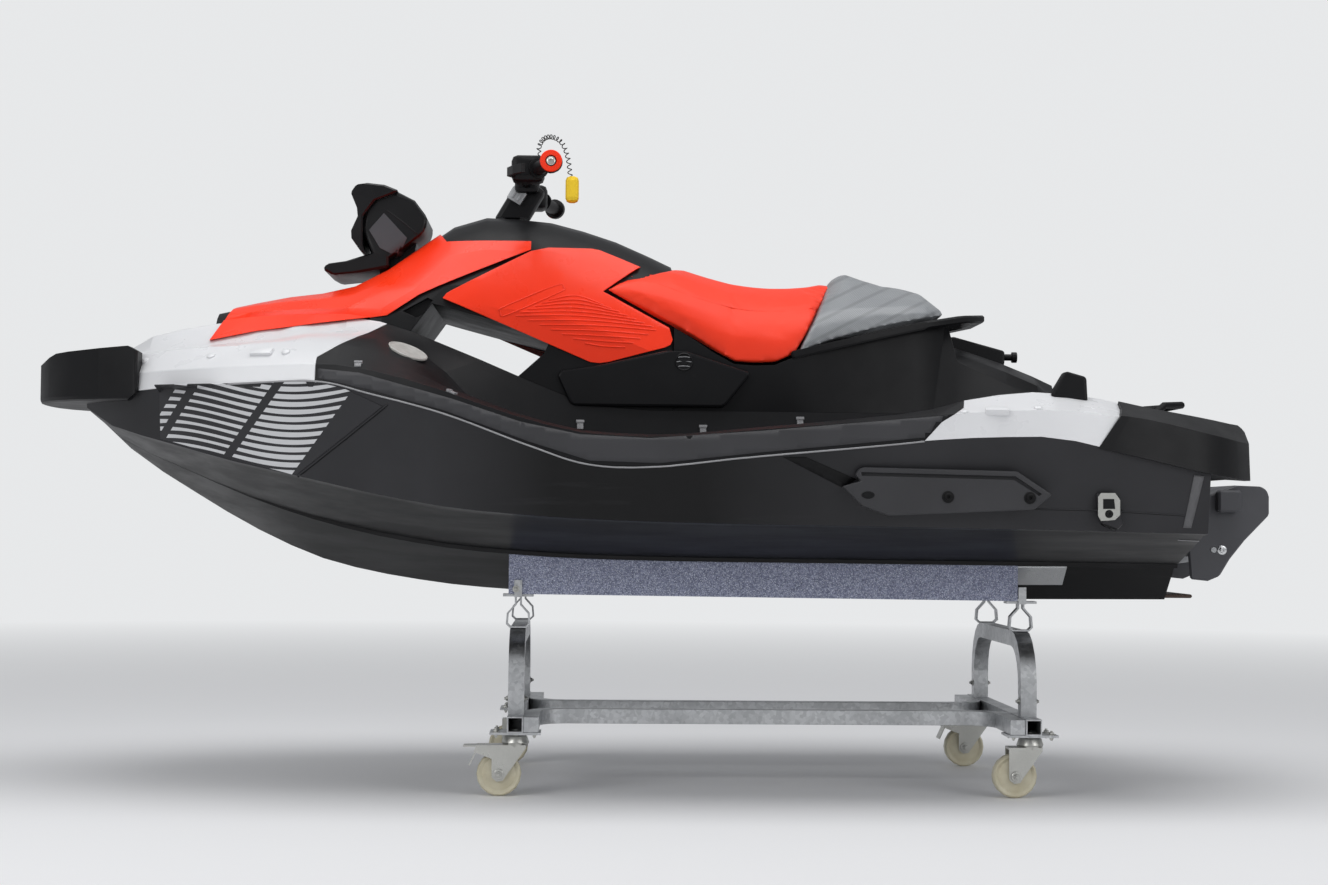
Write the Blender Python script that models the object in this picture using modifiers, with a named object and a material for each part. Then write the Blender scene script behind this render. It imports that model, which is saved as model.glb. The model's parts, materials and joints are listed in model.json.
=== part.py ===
# Personal watercraft resting on the bunks of its four-caster storage dolly.
# Row frame: metres, +Z up, -X towards the bow, +Y towards starboard, floor at Z 0.
# Blender 4.5: blender --background --python part.py

import math

import bmesh
import bpy
from mathutils import Matrix, Vector

# Driving dimensions of the craft
GAP = 0.0003            # air left between pieces that touch
PANEL_THICK = 0.006     # moulded body panels
EYELET_Y = 0.552        # outer face of the stern eyelets
BUMPER_GAP = 0.0012     # the bow bumper's clearance from the hull and the deck
PIN_GAP = 0.0005        # running clearance of pins and shafts
BUMPER_PROUD = 0.014    # how far the rubber bumpers stand off the deck edge
TRANSOM_X = 1.204
STERN_X = TRANSOM_X + 0.086

# Intake, pump, nozzle and reverse gate
TUNNEL_HALF = 0.115
TUNNEL_TOP_Z = 0.715
INTAKE_START_X = 0.58
RIDE_PLATE_START_X = 0.985
RIDE_PLATE_END_X = 1.275
RIDE_PLATE_THICK = 0.009
JET_Z = 0.585
PUMP_START_X = 0.990
PUMP_R = 0.092
PUMP_BORE_R = 0.078
PUMP_END_X = 1.150
SPOUT_R = 0.040
SPOUT_BORE_R = 0.034
SPOUT_END_X = 1.250
SHAFT_R = 0.012
IMPELLER_R = 0.073
IMPELLER_X = 1.045
NOZZLE_START_X = 1.213
NOZZLE_END_X = 1.350
NOZZLE_R = 0.066
NOZZLE_TIP_R = 0.046
NOZZLE_WALL = 0.006
NOZZLE_PIVOT_X = 1.240
BUCKET_PIVOT_X = 1.325
BUCKET_PIVOT_Z = 0.562
BUCKET_HALF_WIDTH = 0.118
BUCKET_WALL = 0.007
BUCKET_PIN_R = 0.007
NOZZLE_PIN_R = 0.006
ARM_Y = 0.100

# Steering
COLUMN_FOOT = (-0.352, 0.0, 1.345)
COLUMN_TOP = (-0.298, 0.0, 1.437)
COLUMN_CLEAR_Z = 1.345  # the riser starts above the console's top
COLUMN_PIN_R = 0.016
BAR_HALF_WIDTH = 0.380
BAR_R = 0.0115
BAR_CENTRE = (-0.318, 1.424)
GRIP_R = 0.0165
GRIP_INNER_Y = 0.268
GRIP_END = (-0.256, 1.424)
POD_Y = 0.232

# Dolly
FRONT_FRAME_X = -0.322
REAR_FRAME_X = 0.842
TUBE = 0.036
TUBE_WALL = 0.003
RAIL_TUBE = 0.034
LEG_Y = 0.31
BASE_HALF = 0.39
BASE_BOTTOM_Z = 0.144
ARCH_TOP_Z = 0.372
ARCH_BEND = 0.105
RAIL_Y = 0.125
RAIL_END_Y = 0.385
RAIL_BEND = 0.080
BUNK_Y = 0.221
BUNK_THICK = 0.048
BUNK_FRONT = (-0.344, 0.449)
BUNK_REAR = (0.832, 0.441)
STRIP_START_X = 0.158   # alloy rub strip on the hull's bottom, over the bunk
STRIP_END_X = 0.950
STRIP_THICK = 0.003
STRIP_INNER_Y = 0.176
STRIP_OUTER_Y = 0.226
PLATE_THICK = 0.005
PLATE_LENGTH = 0.114
PLATE_WIDTH = 0.088
CASTER_Y = 0.342
CASTER_TRAIL = 0.036
CASTER_PIN_R = 0.008
WHEEL_R = 0.050
WHEEL_WIDTH = 0.032
AXLE_R = 0.006
FORK_CLEAR = 0.0055

parts = bpy.data.collections.new("personal_watercraft")
cutters = bpy.data.collections.new("cutters")


def clear_scene():
    for old in list(bpy.data.objects):
        bpy.data.objects.remove(old)
    bpy.context.scene.collection.children.link(parts)
    bpy.context.scene.collection.children.link(cutters)
    cutters.hide_render = True


def make_material(name, colour, roughness, metallic=0.0):
    material = bpy.data.materials.new(name)
    material.use_nodes = True
    shader = material.node_tree.nodes["Principled BSDF"]
    shader.inputs["Base Color"].default_value = (*colour, 1.0)
    shader.inputs["Roughness"].default_value = roughness
    shader.inputs["Metallic"].default_value = metallic
    return material


def add_object(name, mesh, material, origin=(0.0, 0.0, 0.0)):
    """A part in the model's collection, shaded smooth but for its sharp edges, with its origin as given."""
    mesh.transform(Matrix.Translation(-Vector(origin)))
    made = bpy.data.objects.new(name, mesh)
    made.location = origin
    parts.objects.link(made)
    mesh.materials.clear()
    mesh.materials.append(material)
    mesh.shade_smooth()
    mesh.set_sharp_from_angle(angle=0.6)
    return made


def mesh_from(name, shape):
    """The bmesh as mesh data with its faces turned outwards."""
    bmesh.ops.remove_doubles(shape, verts=shape.verts, dist=1e-6)
    bmesh.ops.recalc_face_normals(shape, faces=shape.faces)
    mesh = bpy.data.meshes.new(name)
    shape.to_mesh(mesh)
    shape.free()
    return mesh


def baked(made):
    """The object's evaluated shape in place of its modifiers, with its placement in the mesh."""
    graph = bpy.context.evaluated_depsgraph_get()
    mesh = bpy.data.meshes.new_from_object(made.evaluated_get(graph))
    mesh.transform(made.matrix_world)
    name = made.name
    bpy.data.objects.remove(made)
    mesh.name = name
    return mesh


def combined(mesh, others, operation):
    """mesh with each of the others joined to it, cut from it or kept in common with it."""
    base = bpy.data.objects.new("base", mesh)
    cutters.objects.link(base)
    helpers = []
    for other in others:
        helper = bpy.data.objects.new("helper", other)
        cutters.objects.link(helper)
        helpers.append(helper)
        step = base.modifiers.new("boolean", "BOOLEAN")
        step.operation = operation
        step.object = helper
        step.solver = "EXACT"
    bpy.context.view_layer.update()
    made = baked(base)
    for helper in helpers:
        bpy.data.objects.remove(helper)
    return made


def largest(mesh):
    """The biggest of the mesh's separate bodies, without the crumbs that a cut can leave."""
    shape = bmesh.new()
    shape.from_mesh(mesh)
    left = set(shape.faces)
    bodies = []
    while left:
        queue = [left.pop()]
        body = set(queue)
        while queue:
            for edge in queue.pop().edges:
                for face in edge.link_faces:
                    if face in left:
                        left.discard(face)
                        body.add(face)
                        queue.append(face)
        bodies.append(body)
    keep = max(bodies, key=lambda body: sum(face.calc_area() for face in body))
    bmesh.ops.delete(shape, geom=[face for face in shape.faces if face not in keep], context="FACES")
    shape.to_mesh(mesh)
    shape.free()
    return mesh


def union(mesh, *others):
    return combined(mesh, others, "UNION")


def cut(mesh, *others):
    return combined(mesh, others, "DIFFERENCE")


def common(mesh, *others):
    return combined(mesh, others, "INTERSECT")


def rounded(mesh, width, segments=2, angle=0.5):
    """The mesh with its sharp edges bevelled."""
    base = bpy.data.objects.new("base", mesh)
    cutters.objects.link(base)
    step = base.modifiers.new("bevel", "BEVEL")
    step.width = width
    step.segments = segments
    step.limit_method = "ANGLE"
    step.angle_limit = angle
    bpy.context.view_layer.update()
    return baked(base)


def mirrored(mesh):
    """The same shape on the other side of the centre plane."""
    shape = bmesh.new()
    shape.from_mesh(mesh)
    bmesh.ops.scale(shape, vec=(1, -1, 1), verts=shape.verts)
    bmesh.ops.reverse_faces(shape, faces=shape.faces)
    made = bpy.data.meshes.new(mesh.name)
    shape.to_mesh(made)
    shape.free()
    return made


def box_mesh(low, high):
    shape = bmesh.new()
    bmesh.ops.create_cube(shape, size=1.0)
    size = [high[i] - low[i] for i in range(3)]
    centre = [(high[i] + low[i]) / 2 for i in range(3)]
    bmesh.ops.scale(shape, vec=size, verts=shape.verts)
    bmesh.ops.translate(shape, vec=centre, verts=shape.verts)
    return mesh_from("box", shape)


def rod_mesh(start, end, radius, sides=16, end_radius=None):
    """A round bar or cone between two points."""
    start, end = Vector(start), Vector(end)
    shape = bmesh.new()
    bmesh.ops.create_cone(
        shape, cap_ends=True, segments=sides, radius1=radius,
        radius2=radius if end_radius is None else end_radius, depth=(end - start).length,
    )
    turn = (end - start).to_track_quat("Z", "Y").to_matrix().to_4x4()
    shape.transform(Matrix.Translation((start + end) / 2) @ turn)
    return mesh_from("rod", shape)


def curve_mesh(curve, place=Matrix.Identity(4)):
    """The curve's solid shape as mesh data, with its placement."""
    made = bpy.data.objects.new("curve", curve)
    made.matrix_world = place
    cutters.objects.link(made)
    bpy.context.view_layer.update()
    shape = bmesh.new()
    shape.from_mesh(baked(made))
    return mesh_from("curve", shape)


def poly_spline(curve, points, closed):
    spline = curve.splines.new("POLY")
    spline.points.add(len(points) - 1)
    for spot, point in zip(spline.points, points):
        spot.co = (*point, 1.0)
    spline.use_cyclic_u = closed


def prism_mesh(outline, low, high, along="Y"):
    """The flat outline pushed along one axis: (x, z) pairs along Y, (x, y) along Z, (y, z) along X."""
    turn = {
        "Y": Matrix(((1, 0, 0), (0, 0, -1), (0, 1, 0))),
        "Z": Matrix(((1, 0, 0), (0, 1, 0), (0, 0, 1))),
        "X": Matrix(((0, 0, 1), (1, 0, 0), (0, 1, 0))),
    }[along]
    middle = (low + high) / 2
    offset = {"Y": (0, middle, 0), "Z": (0, 0, middle), "X": (middle, 0, 0)}[along]
    curve = bpy.data.curves.new("outline", "CURVE")
    curve.dimensions = "2D"
    curve.fill_mode = "BOTH"
    curve.extrude = (high - low) / 2
    poly_spline(curve, [(a, b, 0.0) for a, b in outline], True)
    return curve_mesh(curve, Matrix.Translation(offset) @ turn.to_4x4())


def loft_mesh(rings, closed=False):
    """A skin over closed rings of equal count, with flat ends unless the rings close on themselves."""
    shape = bmesh.new()
    rows = [[shape.verts.new(point) for point in ring] for ring in rings]
    count = len(rows[0])
    pairs = list(zip(rows, rows[1:]))
    if closed:
        pairs.append((rows[-1], rows[0]))
    else:
        shape.faces.new(rows[0])
        shape.faces.new(rows[-1])
    for first, second in pairs:
        for i in range(count):
            j = (i + 1) % count
            corners = [first[i], first[j], second[j], second[i]]
            if not flat_quad(corners):
                start = 0 if outer_first(corners[0].co, corners[1].co) else 1
                corners = corners[start:] + corners[:start]
                shape.faces.new((corners[0], corners[1], corners[2]))
                shape.faces.new((corners[0], corners[2], corners[3]))
            else:
                shape.faces.new(corners)
    return mesh_from("loft", shape)


def outer_first(a, b):
    """Picks a quad's diagonal by its shape alone, so that facing and mirrored skins get the same one."""
    if abs(abs(a.y) - abs(b.y)) > 1e-5:
        return abs(a.y) > abs(b.y)
    return a.z < b.z


def flat_quad(corners):
    """Whether four corners lie in a plane, so that either diagonal gives the same surface."""
    a, b, c, d = [corner.co for corner in corners]
    normal = (b - a).cross(c - a)
    return normal.length < 1e-12 or abs(normal.normalized().dot(d - a)) < 1e-6


def turned_mesh(profile, sides, closed=False):
    """A turned shape about Z: (radius, height) pairs spun once round."""
    shape = bmesh.new()
    spots = [shape.verts.new((r, 0.0, z)) for r, z in profile]
    for first, second in zip(spots, spots[1:] + (spots[:1] if closed else [])):
        shape.edges.new((first, second))
    mesh = bpy.data.meshes.new("profile")
    shape.to_mesh(mesh)
    shape.free()
    made = bpy.data.objects.new("profile", mesh)
    cutters.objects.link(made)
    spin = made.modifiers.new("spin", "SCREW")
    spin.axis = "Z"
    spin.steps = sides
    spin.render_steps = sides
    spin.use_merge_vertices = True
    spin.merge_threshold = 1e-5
    bpy.context.view_layer.update()
    shape = bmesh.new()
    shape.from_mesh(baked(made))
    bmesh.ops.dissolve_degenerate(shape, dist=1e-7, edges=shape.edges)
    return mesh_from("turned", shape)


def placed(mesh, position, axis="Z"):
    """The turned shape moved to its position with its axis along X, Y or Z."""
    turn = {
        "X": Matrix.Rotation(math.pi / 2, 4, "Y"),
        "Y": Matrix.Rotation(-math.pi / 2, 4, "X"),
        "Z": Matrix.Identity(4),
    }[axis]
    mesh.transform(Matrix.Translation(position) @ turn)
    return mesh


def sweep_mesh(path, section, up=(0, 0, 1)):
    """The (side, height) section carried along the path's points, upright to the up direction."""
    points = [Vector(p) for p in path]
    up = Vector(up)
    rings = []
    for i, point in enumerate(points):
        before = points[max(i - 1, 0)]
        after = points[min(i + 1, len(points) - 1)]
        ahead = (point - before).normalized() + (after - point).normalized()
        ahead.normalize()
        side = up.cross(ahead).normalized()
        top = ahead.cross(side)
        stretch = 1.0
        if 0 < i < len(points) - 1:
            bend = (point - before).angle(after - point)
            stretch = 1.0 / math.cos(bend / 2)
        flat = abs(ahead.dot(up)) < 0.99
        rings.append([point + side * (a * (stretch if flat else 1)) + top * b for a, b in section])
    return loft_mesh(rings)


def wire_mesh(points, radius, resolution=2):
    """A round wire or tube through the points."""
    curve = bpy.data.curves.new("wire", "CURVE")
    curve.dimensions = "3D"
    curve.bevel_depth = radius
    curve.bevel_resolution = resolution
    curve.use_fill_caps = True
    poly_spline(curve, points, False)
    return curve_mesh(curve)


def smooth_route(points, step):
    """Points about a step apart on a smooth line through the given ones."""
    spots = [Vector(p) for p in points]
    spots = [2 * spots[0] - spots[1]] + spots + [2 * spots[-1] - spots[-2]]
    fine = []
    for a, b, c, d in zip(spots, spots[1:], spots[2:], spots[3:]):
        for k in range(20):
            t = k / 20
            bend = (2 * a - 5 * b + 4 * c - d) * t**2 + (3 * b - a - 3 * c + d) * t**3
            fine.append(0.5 * (2 * b + (c - a) * t + bend))
    fine.append(spots[-2])
    length = sum((b - a).length for a, b in zip(fine, fine[1:]))
    count = max(2, round(length / step))
    found = [fine[0]]
    walked = 0.0
    for a, b in zip(fine, fine[1:]):
        walked += (b - a).length
        if walked >= len(found) * length / count - 1e-9 and len(found) < count:
            found.append(b)
    return found + [fine[-1]]


def inset(outline, by):
    """The outline with every edge moved inwards by the same distance."""
    count = len(outline)
    area = sum(outline[i][0] * outline[(i + 1) % count][1] - outline[(i + 1) % count][0] * outline[i][1]
               for i in range(count))
    hand = 1.0 if area > 0 else -1.0
    found = []
    for i, point in enumerate(outline):
        here = Vector(point)
        first = (here - Vector(outline[i - 1])).normalized()
        second = (Vector(outline[(i + 1) % count]) - here).normalized()
        normal = Vector((-(first.y + second.y), first.x + second.x)).normalized() * hand
        share = max(normal.dot(Vector((-first.y, first.x)) * hand), 0.3)
        moved_to = here + normal * (by / share)
        found.append((moved_to.x, moved_to.y))
    return found


def arc(centre, radius, start, end, steps):
    """Points of an arc in a plane, angles in degrees."""
    found = []
    for i in range(steps + 1):
        angle = math.radians(start + (end - start) * i / steps)
        found.append((centre[0] + radius * math.cos(angle), centre[1] + radius * math.sin(angle)))
    return found


def tangents(xs, ys):
    """Slopes of a monotone cubic through the points, after Fritsch and Carlson."""
    steps = [(ys[i + 1] - ys[i]) / (xs[i + 1] - xs[i]) for i in range(len(xs) - 1)]
    slopes = [steps[0]]
    for before, after in zip(steps, steps[1:]):
        slopes.append(0.0 if before * after <= 0 else 2 * before * after / (before + after))
    slopes.append(steps[-1])
    return slopes


def row_at(table, x):
    """The table's row at x, by a smooth curve through each column."""
    xs = [row[0] for row in table]
    x = min(max(x, xs[0]), xs[-1])
    i = max(k for k in range(len(xs) - 1) if xs[k] <= x or k == 0)
    width = xs[i + 1] - xs[i]
    t = (x - xs[i]) / width
    found = [x]
    for column in range(1, len(table[0])):
        ys = [row[column] for row in table]
        slopes = tangents(xs, ys)
        found.append(
            (2 * t**3 - 3 * t**2 + 1) * ys[i] + (t**3 - 2 * t**2 + t) * width * slopes[i]
            + (-2 * t**3 + 3 * t**2) * ys[i + 1] + (t**3 - t**2) * width * slopes[i + 1]
        )
    return found


def ring_of(half, x):
    """A closed ring at x from the half outline, bottom centre first and top centre last."""
    other = [(-y, z) for y, z in reversed(half[1:-1])]
    return [(x, y, z) for y, z in half + other]


def grown(half, by, fixed=0):
    """The half outline pushed outwards, but for its first fixed points; its ends stay on the centre plane."""
    if not by:
        return list(half)
    pushed = []
    last = len(half) - 1
    for i, (y, z) in enumerate(half):
        before = half[i - 1] if i else (-half[1][0], half[1][1])
        after = half[i + 1] if i < last else (-half[last - 1][0], half[last - 1][1])
        first = Vector((y - before[0], z - before[1]))
        second = Vector((after[0] - y, after[1] - z))
        if first.length < 1e-9:
            first = second
        if second.length < 1e-9:
            second = first
        normal = (first.normalized() + second.normalized()).normalized()
        share = max(normal.dot(first.normalized()), 0.5)
        offset = Vector((normal.y, -normal.x)) * (by / share if i >= fixed else 0.0)
        pushed.append((0.0 if i in (0, last) else y + offset.x, z + offset.y))
    return pushed


def softened(half, cuts):
    """The half outline with the corners in cuts, each an index and a distance, cut off to soften them."""
    found = []
    for i, point in enumerate(half):
        if i not in cuts:
            found.append(point)
            continue
        here, before, after = Vector(point), Vector(half[i - 1]), Vector(half[i + 1])
        first = here + (before - here).normalized() * min(cuts[i], 0.4 * (before - here).length)
        last = here + (after - here).normalized() * min(cuts[i], 0.4 * (after - here).length)
        found += [(first.x, first.y), (last.x, last.y)]
    return found


# Hull below the bond line, which the deck's rows place.
# Columns: x, keel z, pad y, chine inner y, chine inner z, chine y, chine z
HULL = [
    (-1.333, 0.860, 0.004, 0.110, 0.866, 0.138, 0.871),
    (-1.300, 0.822, 0.004, 0.120, 0.836, 0.170, 0.845),
    (-1.236, 0.766, 0.004, 0.190, 0.808, 0.250, 0.820),
    (-1.090, 0.672, 0.004, 0.290, 0.772, 0.350, 0.780),
    (-0.947, 0.590, 0.005, 0.360, 0.735, 0.410, 0.742),
    (-0.780, 0.519, 0.006, 0.420, 0.699, 0.460, 0.706),
    (-0.612, 0.482, 0.008, 0.455, 0.662, 0.492, 0.669),
    (-0.420, 0.458, 0.010, 0.475, 0.632, 0.510, 0.639),
    (-0.132, 0.444, 0.012, 0.490, 0.614, 0.525, 0.620),
    (0.205, 0.441, 0.020, 0.495, 0.608, 0.530, 0.613),
    (0.450, 0.441, 0.060, 0.495, 0.606, 0.530, 0.611),
    (0.650, 0.441, 0.125, 0.495, 0.605, 0.529, 0.608),
    (0.834, 0.442, 0.128, 0.492, 0.603, 0.527, 0.607),
    (1.000, 0.443, 0.128, 0.485, 0.600, 0.520, 0.604),
    (TRANSOM_X, 0.444, 0.128, 0.470, 0.596, 0.505, 0.600),
]
STRAKE_SHARE = 0.52     # where the strake sits between the keel and the chine
STRAKE_DROP = 0.009

# Deck above the bond line. Columns: x, bond y, bond z, band y, band z, rail y, rail z,
# floor outer y, floor z, floor inner y, floor inner z, tunnel y, tunnel z, crown z
DECK = [
    (-1.333, 0.150, 0.888, 0.145, 0.930, 0.130, 0.968, 0.110, 0.972, 0.090, 0.975, 0.070, 0.980, 0.982),
    (-1.240, 0.287, 0.896, 0.280, 0.937, 0.240, 0.980, 0.200, 0.985, 0.170, 0.990, 0.130, 1.004, 1.010),
    (-1.190, 0.333, 0.900, 0.326, 0.941, 0.280, 0.987, 0.240, 0.993, 0.200, 1.000, 0.150, 1.036, 1.052),
    (-1.060, 0.415, 0.908, 0.406, 0.947, 0.340, 0.998, 0.290, 1.005, 0.250, 1.012, 0.185, 1.062, 1.080),
    (-0.900, 0.465, 0.915, 0.456, 0.952, 0.390, 1.005, 0.330, 1.015, 0.280, 1.025, 0.210, 1.080, 1.094),
    (-0.760, 0.505, 0.920, 0.496, 0.956, 0.430, 1.010, 0.370, 1.030, 0.310, 1.045, 0.235, 1.084, 1.094),
    (-0.640, 0.540, 0.893, 0.532, 0.940, 0.455, 0.985, 0.400, 1.020, 0.330, 1.040, 0.285, 1.068, 1.068),
    (-0.500, 0.573, 0.855, 0.565, 0.902, 0.490, 0.918, 0.455, 0.925, 0.355, 0.960, 0.295, 1.018, 1.018),
    (-0.400, 0.580, 0.821, 0.572, 0.868, 0.500, 0.880, 0.465, 0.850, 0.345, 0.862, 0.295, 0.978, 0.978),
    (-0.290, 0.585, 0.781, 0.577, 0.833, 0.505, 0.842, 0.475, 0.798, 0.325, 0.800, 0.290, 0.932, 0.932),
    (-0.160, 0.587, 0.742, 0.580, 0.806, 0.510, 0.814, 0.485, 0.757, 0.310, 0.757, 0.286, 0.885, 0.885),
    (-0.020, 0.590, 0.736, 0.583, 0.800, 0.510, 0.808, 0.485, 0.750, 0.300, 0.750, 0.280, 0.872, 0.872),
    (0.205, 0.590, 0.761, 0.583, 0.818, 0.510, 0.826, 0.485, 0.775, 0.292, 0.775, 0.274, 0.872, 0.872),
    (0.400, 0.590, 0.780, 0.582, 0.835, 0.508, 0.845, 0.480, 0.796, 0.285, 0.796, 0.266, 0.872, 0.872),
    (0.562, 0.588, 0.797, 0.580, 0.850, 0.500, 0.864, 0.470, 0.812, 0.275, 0.812, 0.256, 0.872, 0.872),
    (0.700, 0.582, 0.806, 0.572, 0.862, 0.482, 0.898, 0.440, 0.824, 0.262, 0.824, 0.244, 0.872, 0.872),
    (0.834, 0.575, 0.809, 0.565, 0.868, 0.472, 0.912, 0.425, 0.832, 0.250, 0.832, 0.232, 0.868, 0.868),
    (0.950, 0.566, 0.788, 0.556, 0.860, 0.470, 0.902, 0.420, 0.836, 0.240, 0.836, 0.222, 0.850, 0.850),
    (1.060, 0.553, 0.765, 0.543, 0.845, 0.458, 0.880, 0.412, 0.834, 0.230, 0.834, 0.210, 0.838, 0.838),
    (TRANSOM_X, 0.530, 0.735, 0.520, 0.815, 0.440, 0.856, 0.402, 0.828, 0.210, 0.828, 0.190, 0.830, 0.830),
    (STERN_X, 0.475, 0.724, 0.463, 0.800, 0.405, 0.842, 0.380, 0.822, 0.190, 0.822, 0.170, 0.824, 0.824),
]

# Console standing on the deck's tunnel. Columns: x, hip y, hip z, shoulder y, shoulder z, crown y, crown z
CONSOLE = [
    (-1.030, 0.160, 1.090, 0.120, 1.098, 0.050, 1.102),
    (-0.884, 0.195, 1.104, 0.140, 1.126, 0.060, 1.136),
    (-0.752, 0.215, 1.108, 0.155, 1.142, 0.070, 1.154),
    (-0.681, 0.240, 1.112, 0.165, 1.166, 0.080, 1.182),
    (-0.598, 0.262, 1.120, 0.175, 1.202, 0.090, 1.236),
    (-0.526, 0.275, 1.128, 0.185, 1.236, 0.095, 1.288),
    (-0.430, 0.282, 1.135, 0.195, 1.270, 0.100, 1.337),
    (-0.298, 0.282, 1.120, 0.205, 1.266, 0.100, 1.332),
    (-0.140, 0.276, 1.082, 0.200, 1.236, 0.095, 1.296),
    (-0.007, 0.268, 1.030, 0.185, 1.190, 0.085, 1.243),
    (0.030, 0.266, 1.020, 0.180, 1.170, 0.080, 1.226),
]

# Seat cushion. Columns: x, edge y, edge z, side y, side z, shoulder y, shoulder z, top z
SEAT = [
    (-0.128, 0.258, 1.146, 0.256, 1.160, 0.215, 1.196, 1.205),
    (0.030, 0.268, 1.064, 0.264, 1.110, 0.205, 1.190, 1.229),
    (0.078, 0.272, 1.036, 0.266, 1.095, 0.200, 1.172, 1.214),
    (0.188, 0.278, 0.978, 0.268, 1.060, 0.195, 1.142, 1.185),
    (0.260, 0.276, 0.980, 0.262, 1.060, 0.185, 1.138, 1.179),
    (0.321, 0.268, 1.006, 0.252, 1.075, 0.170, 1.142, 1.181),
    (0.418, 0.250, 1.042, 0.232, 1.100, 0.140, 1.160, 1.200),
    (0.446, 0.245, 1.050, 0.226, 1.104, 0.130, 1.172, 1.220),
    (0.516, 0.228, 1.070, 0.210, 1.112, 0.120, 1.164, 1.198),
    (0.601, 0.200, 1.088, 0.186, 1.120, 0.115, 1.160, 1.183),
    (0.662, 0.165, 1.100, 0.155, 1.120, 0.100, 1.146, 1.160),
    (0.679, 0.140, 1.106, 0.132, 1.116, 0.090, 1.128, 1.134),
]
SEAT_THICK = 0.092      # cushion depth on the centre line
SEAT_LEDGE = 0.026      # width of the ledge that the seat's edge rests on
SEAT_OUTLINE = [(-0.133, 1.147), (-0.056, 1.2055), (0.010, 1.245), (0.70, 1.40), (0.70, 0.90),
                (0.034, 0.90), (0.030, 1.0595)]

# Tail cowl behind the seat. Columns: x, ledge y, ledge z, inner y, inner z, top y, top z
COWL = [
    (0.700, 0.175, 1.000, 0.150, 1.020, 0.095, 1.040),
    (0.800, 0.172, 0.955, 0.150, 0.985, 0.085, 1.010),
    (0.900, 0.160, 0.915, 0.140, 0.945, 0.078, 0.972),
    (0.946, 0.152, 0.880, 0.132, 0.905, 0.070, 0.952),
]


def spaced(start, end, step):
    """Evenly spaced x values from start to end."""
    count = max(1, round((end - start) / step))
    return [round(start + (end - start) * i / count, 5) for i in range(count + 1)]


def within(xs, low, high):
    return [x for x in xs if low - 1e-6 <= x <= high + 1e-6]


# Pieces that touch share their stations, so that their faces run parallel
HULL_STATIONS = spaced(DECK[0][0], TRANSOM_X, 0.077)
DECK_STATIONS = HULL_STATIONS + spaced(TRANSOM_X, STERN_X, 0.045)[1:]
CONSOLE_END_X = CONSOLE[-1][0] - GAP
CONSOLE_STATIONS = (
    [CONSOLE[0][0]] + within(DECK_STATIONS, CONSOLE[0][0] + 0.01, CONSOLE_END_X - 0.01) + [CONSOLE_END_X]
)
SEAT_STATIONS = spaced(SEAT[0][0], CONSOLE[-1][0], 0.045) + spaced(CONSOLE[-1][0], SEAT[-1][0], 0.045)[1:]
BASE_STATIONS = (
    within(SEAT_STATIONS, CONSOLE[-1][0], SEAT[-1][0]) + [COWL[0][0]]
    + within(DECK_STATIONS, COWL[0][0] + 0.01, COWL[-1][0] - 0.01) + [COWL[-1][0]]
)


def hull_half(x, by=0.0):
    _, keel_z, pad_y, inner_y, inner_z, chine_y, chine_z = row_at(HULL, x)
    bond_y, bond_z = row_at(DECK, x)[1:3]
    strake_y = STRAKE_SHARE * inner_y
    strake_z = keel_z + 0.56 * (inner_z - keel_z)
    share = min(1.0, max(0.25, (x + 1.2) / 0.5))
    drop = STRAKE_DROP * share
    half = [
        (0.0, keel_z),
        (pad_y, keel_z),
        (strake_y - 0.028 * share, strake_z - drop),
        (strake_y, strake_z - drop),
        (strake_y + 0.004, strake_z),
        (inner_y, inner_z),
        (chine_y, chine_z),
        (bond_y, bond_z - GAP),
        (0.0, bond_z - GAP),
    ]
    return grown(half, by)


def deck_half(x, by=0.0):
    row = row_at(DECK, x)
    half = [(0.0, row[2])] + [(row[i], row[i + 1]) for i in range(1, 13, 2)] + [(0.0, row[13])]
    return grown(half, by)


def deck_top(x):
    """The deck's tunnel edge and crown at x, where the console and the seat base stand."""
    after = max(1, min(len(DECK_STATIONS) - 1, sum(1 for station in DECK_STATIONS if station < x)))
    low, high = DECK_STATIONS[after - 1], DECK_STATIONS[after]
    share = (x - low) / (high - low)
    first, second = row_at(DECK, low), row_at(DECK, high)
    return [first[i] + share * (second[i] - first[i]) for i in (11, 12, 13)]


def foot_points(x):
    tunnel_y, tunnel_z, crown_z = deck_top(x)
    foot_y = tunnel_y - 0.006
    foot_z = crown_z + (tunnel_z - crown_z) * foot_y / tunnel_y
    return [(0.0, crown_z + GAP), (foot_y, foot_z + GAP)]


def console_half(x, by=0.0, sink=0.0):
    _, hip_y, hip_z, shoulder_y, shoulder_z, crown_y, crown_z = row_at(CONSOLE, x)
    half = foot_points(x) + [
        (hip_y, hip_z),
        (shoulder_y, shoulder_z),
        (crown_y, crown_z),
        (0.0, crown_z),
    ]
    half = softened(half, {2: 0.030, 3: 0.035, 4: 0.025})
    below = [(y, z - sink) for y, z in half[:2]] if sink else half[:1]
    return below + grown(half, by, 2)[1:]


def sunk_console(depth):
    """The console's section with its foot down in the deck, for cutters that leave nothing between the two."""
    return lambda x, by=0.0: console_half(x, by, depth)


def seat_underside(x):
    """The cushion's underside from its outer edge to the centre line."""
    row = row_at(SEAT, x)
    edge_y, edge_z, top_z = row[1], row[2], row[7]
    under_z = max(top_z - SEAT_THICK, edge_z + 0.003)
    return [
        (edge_y, edge_z),
        (edge_y - SEAT_LEDGE, edge_z),
        (0.55 * (edge_y - SEAT_LEDGE), under_z - 0.004 * (under_z > edge_z + 0.01)),
        (0.0, under_z),
    ]


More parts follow.
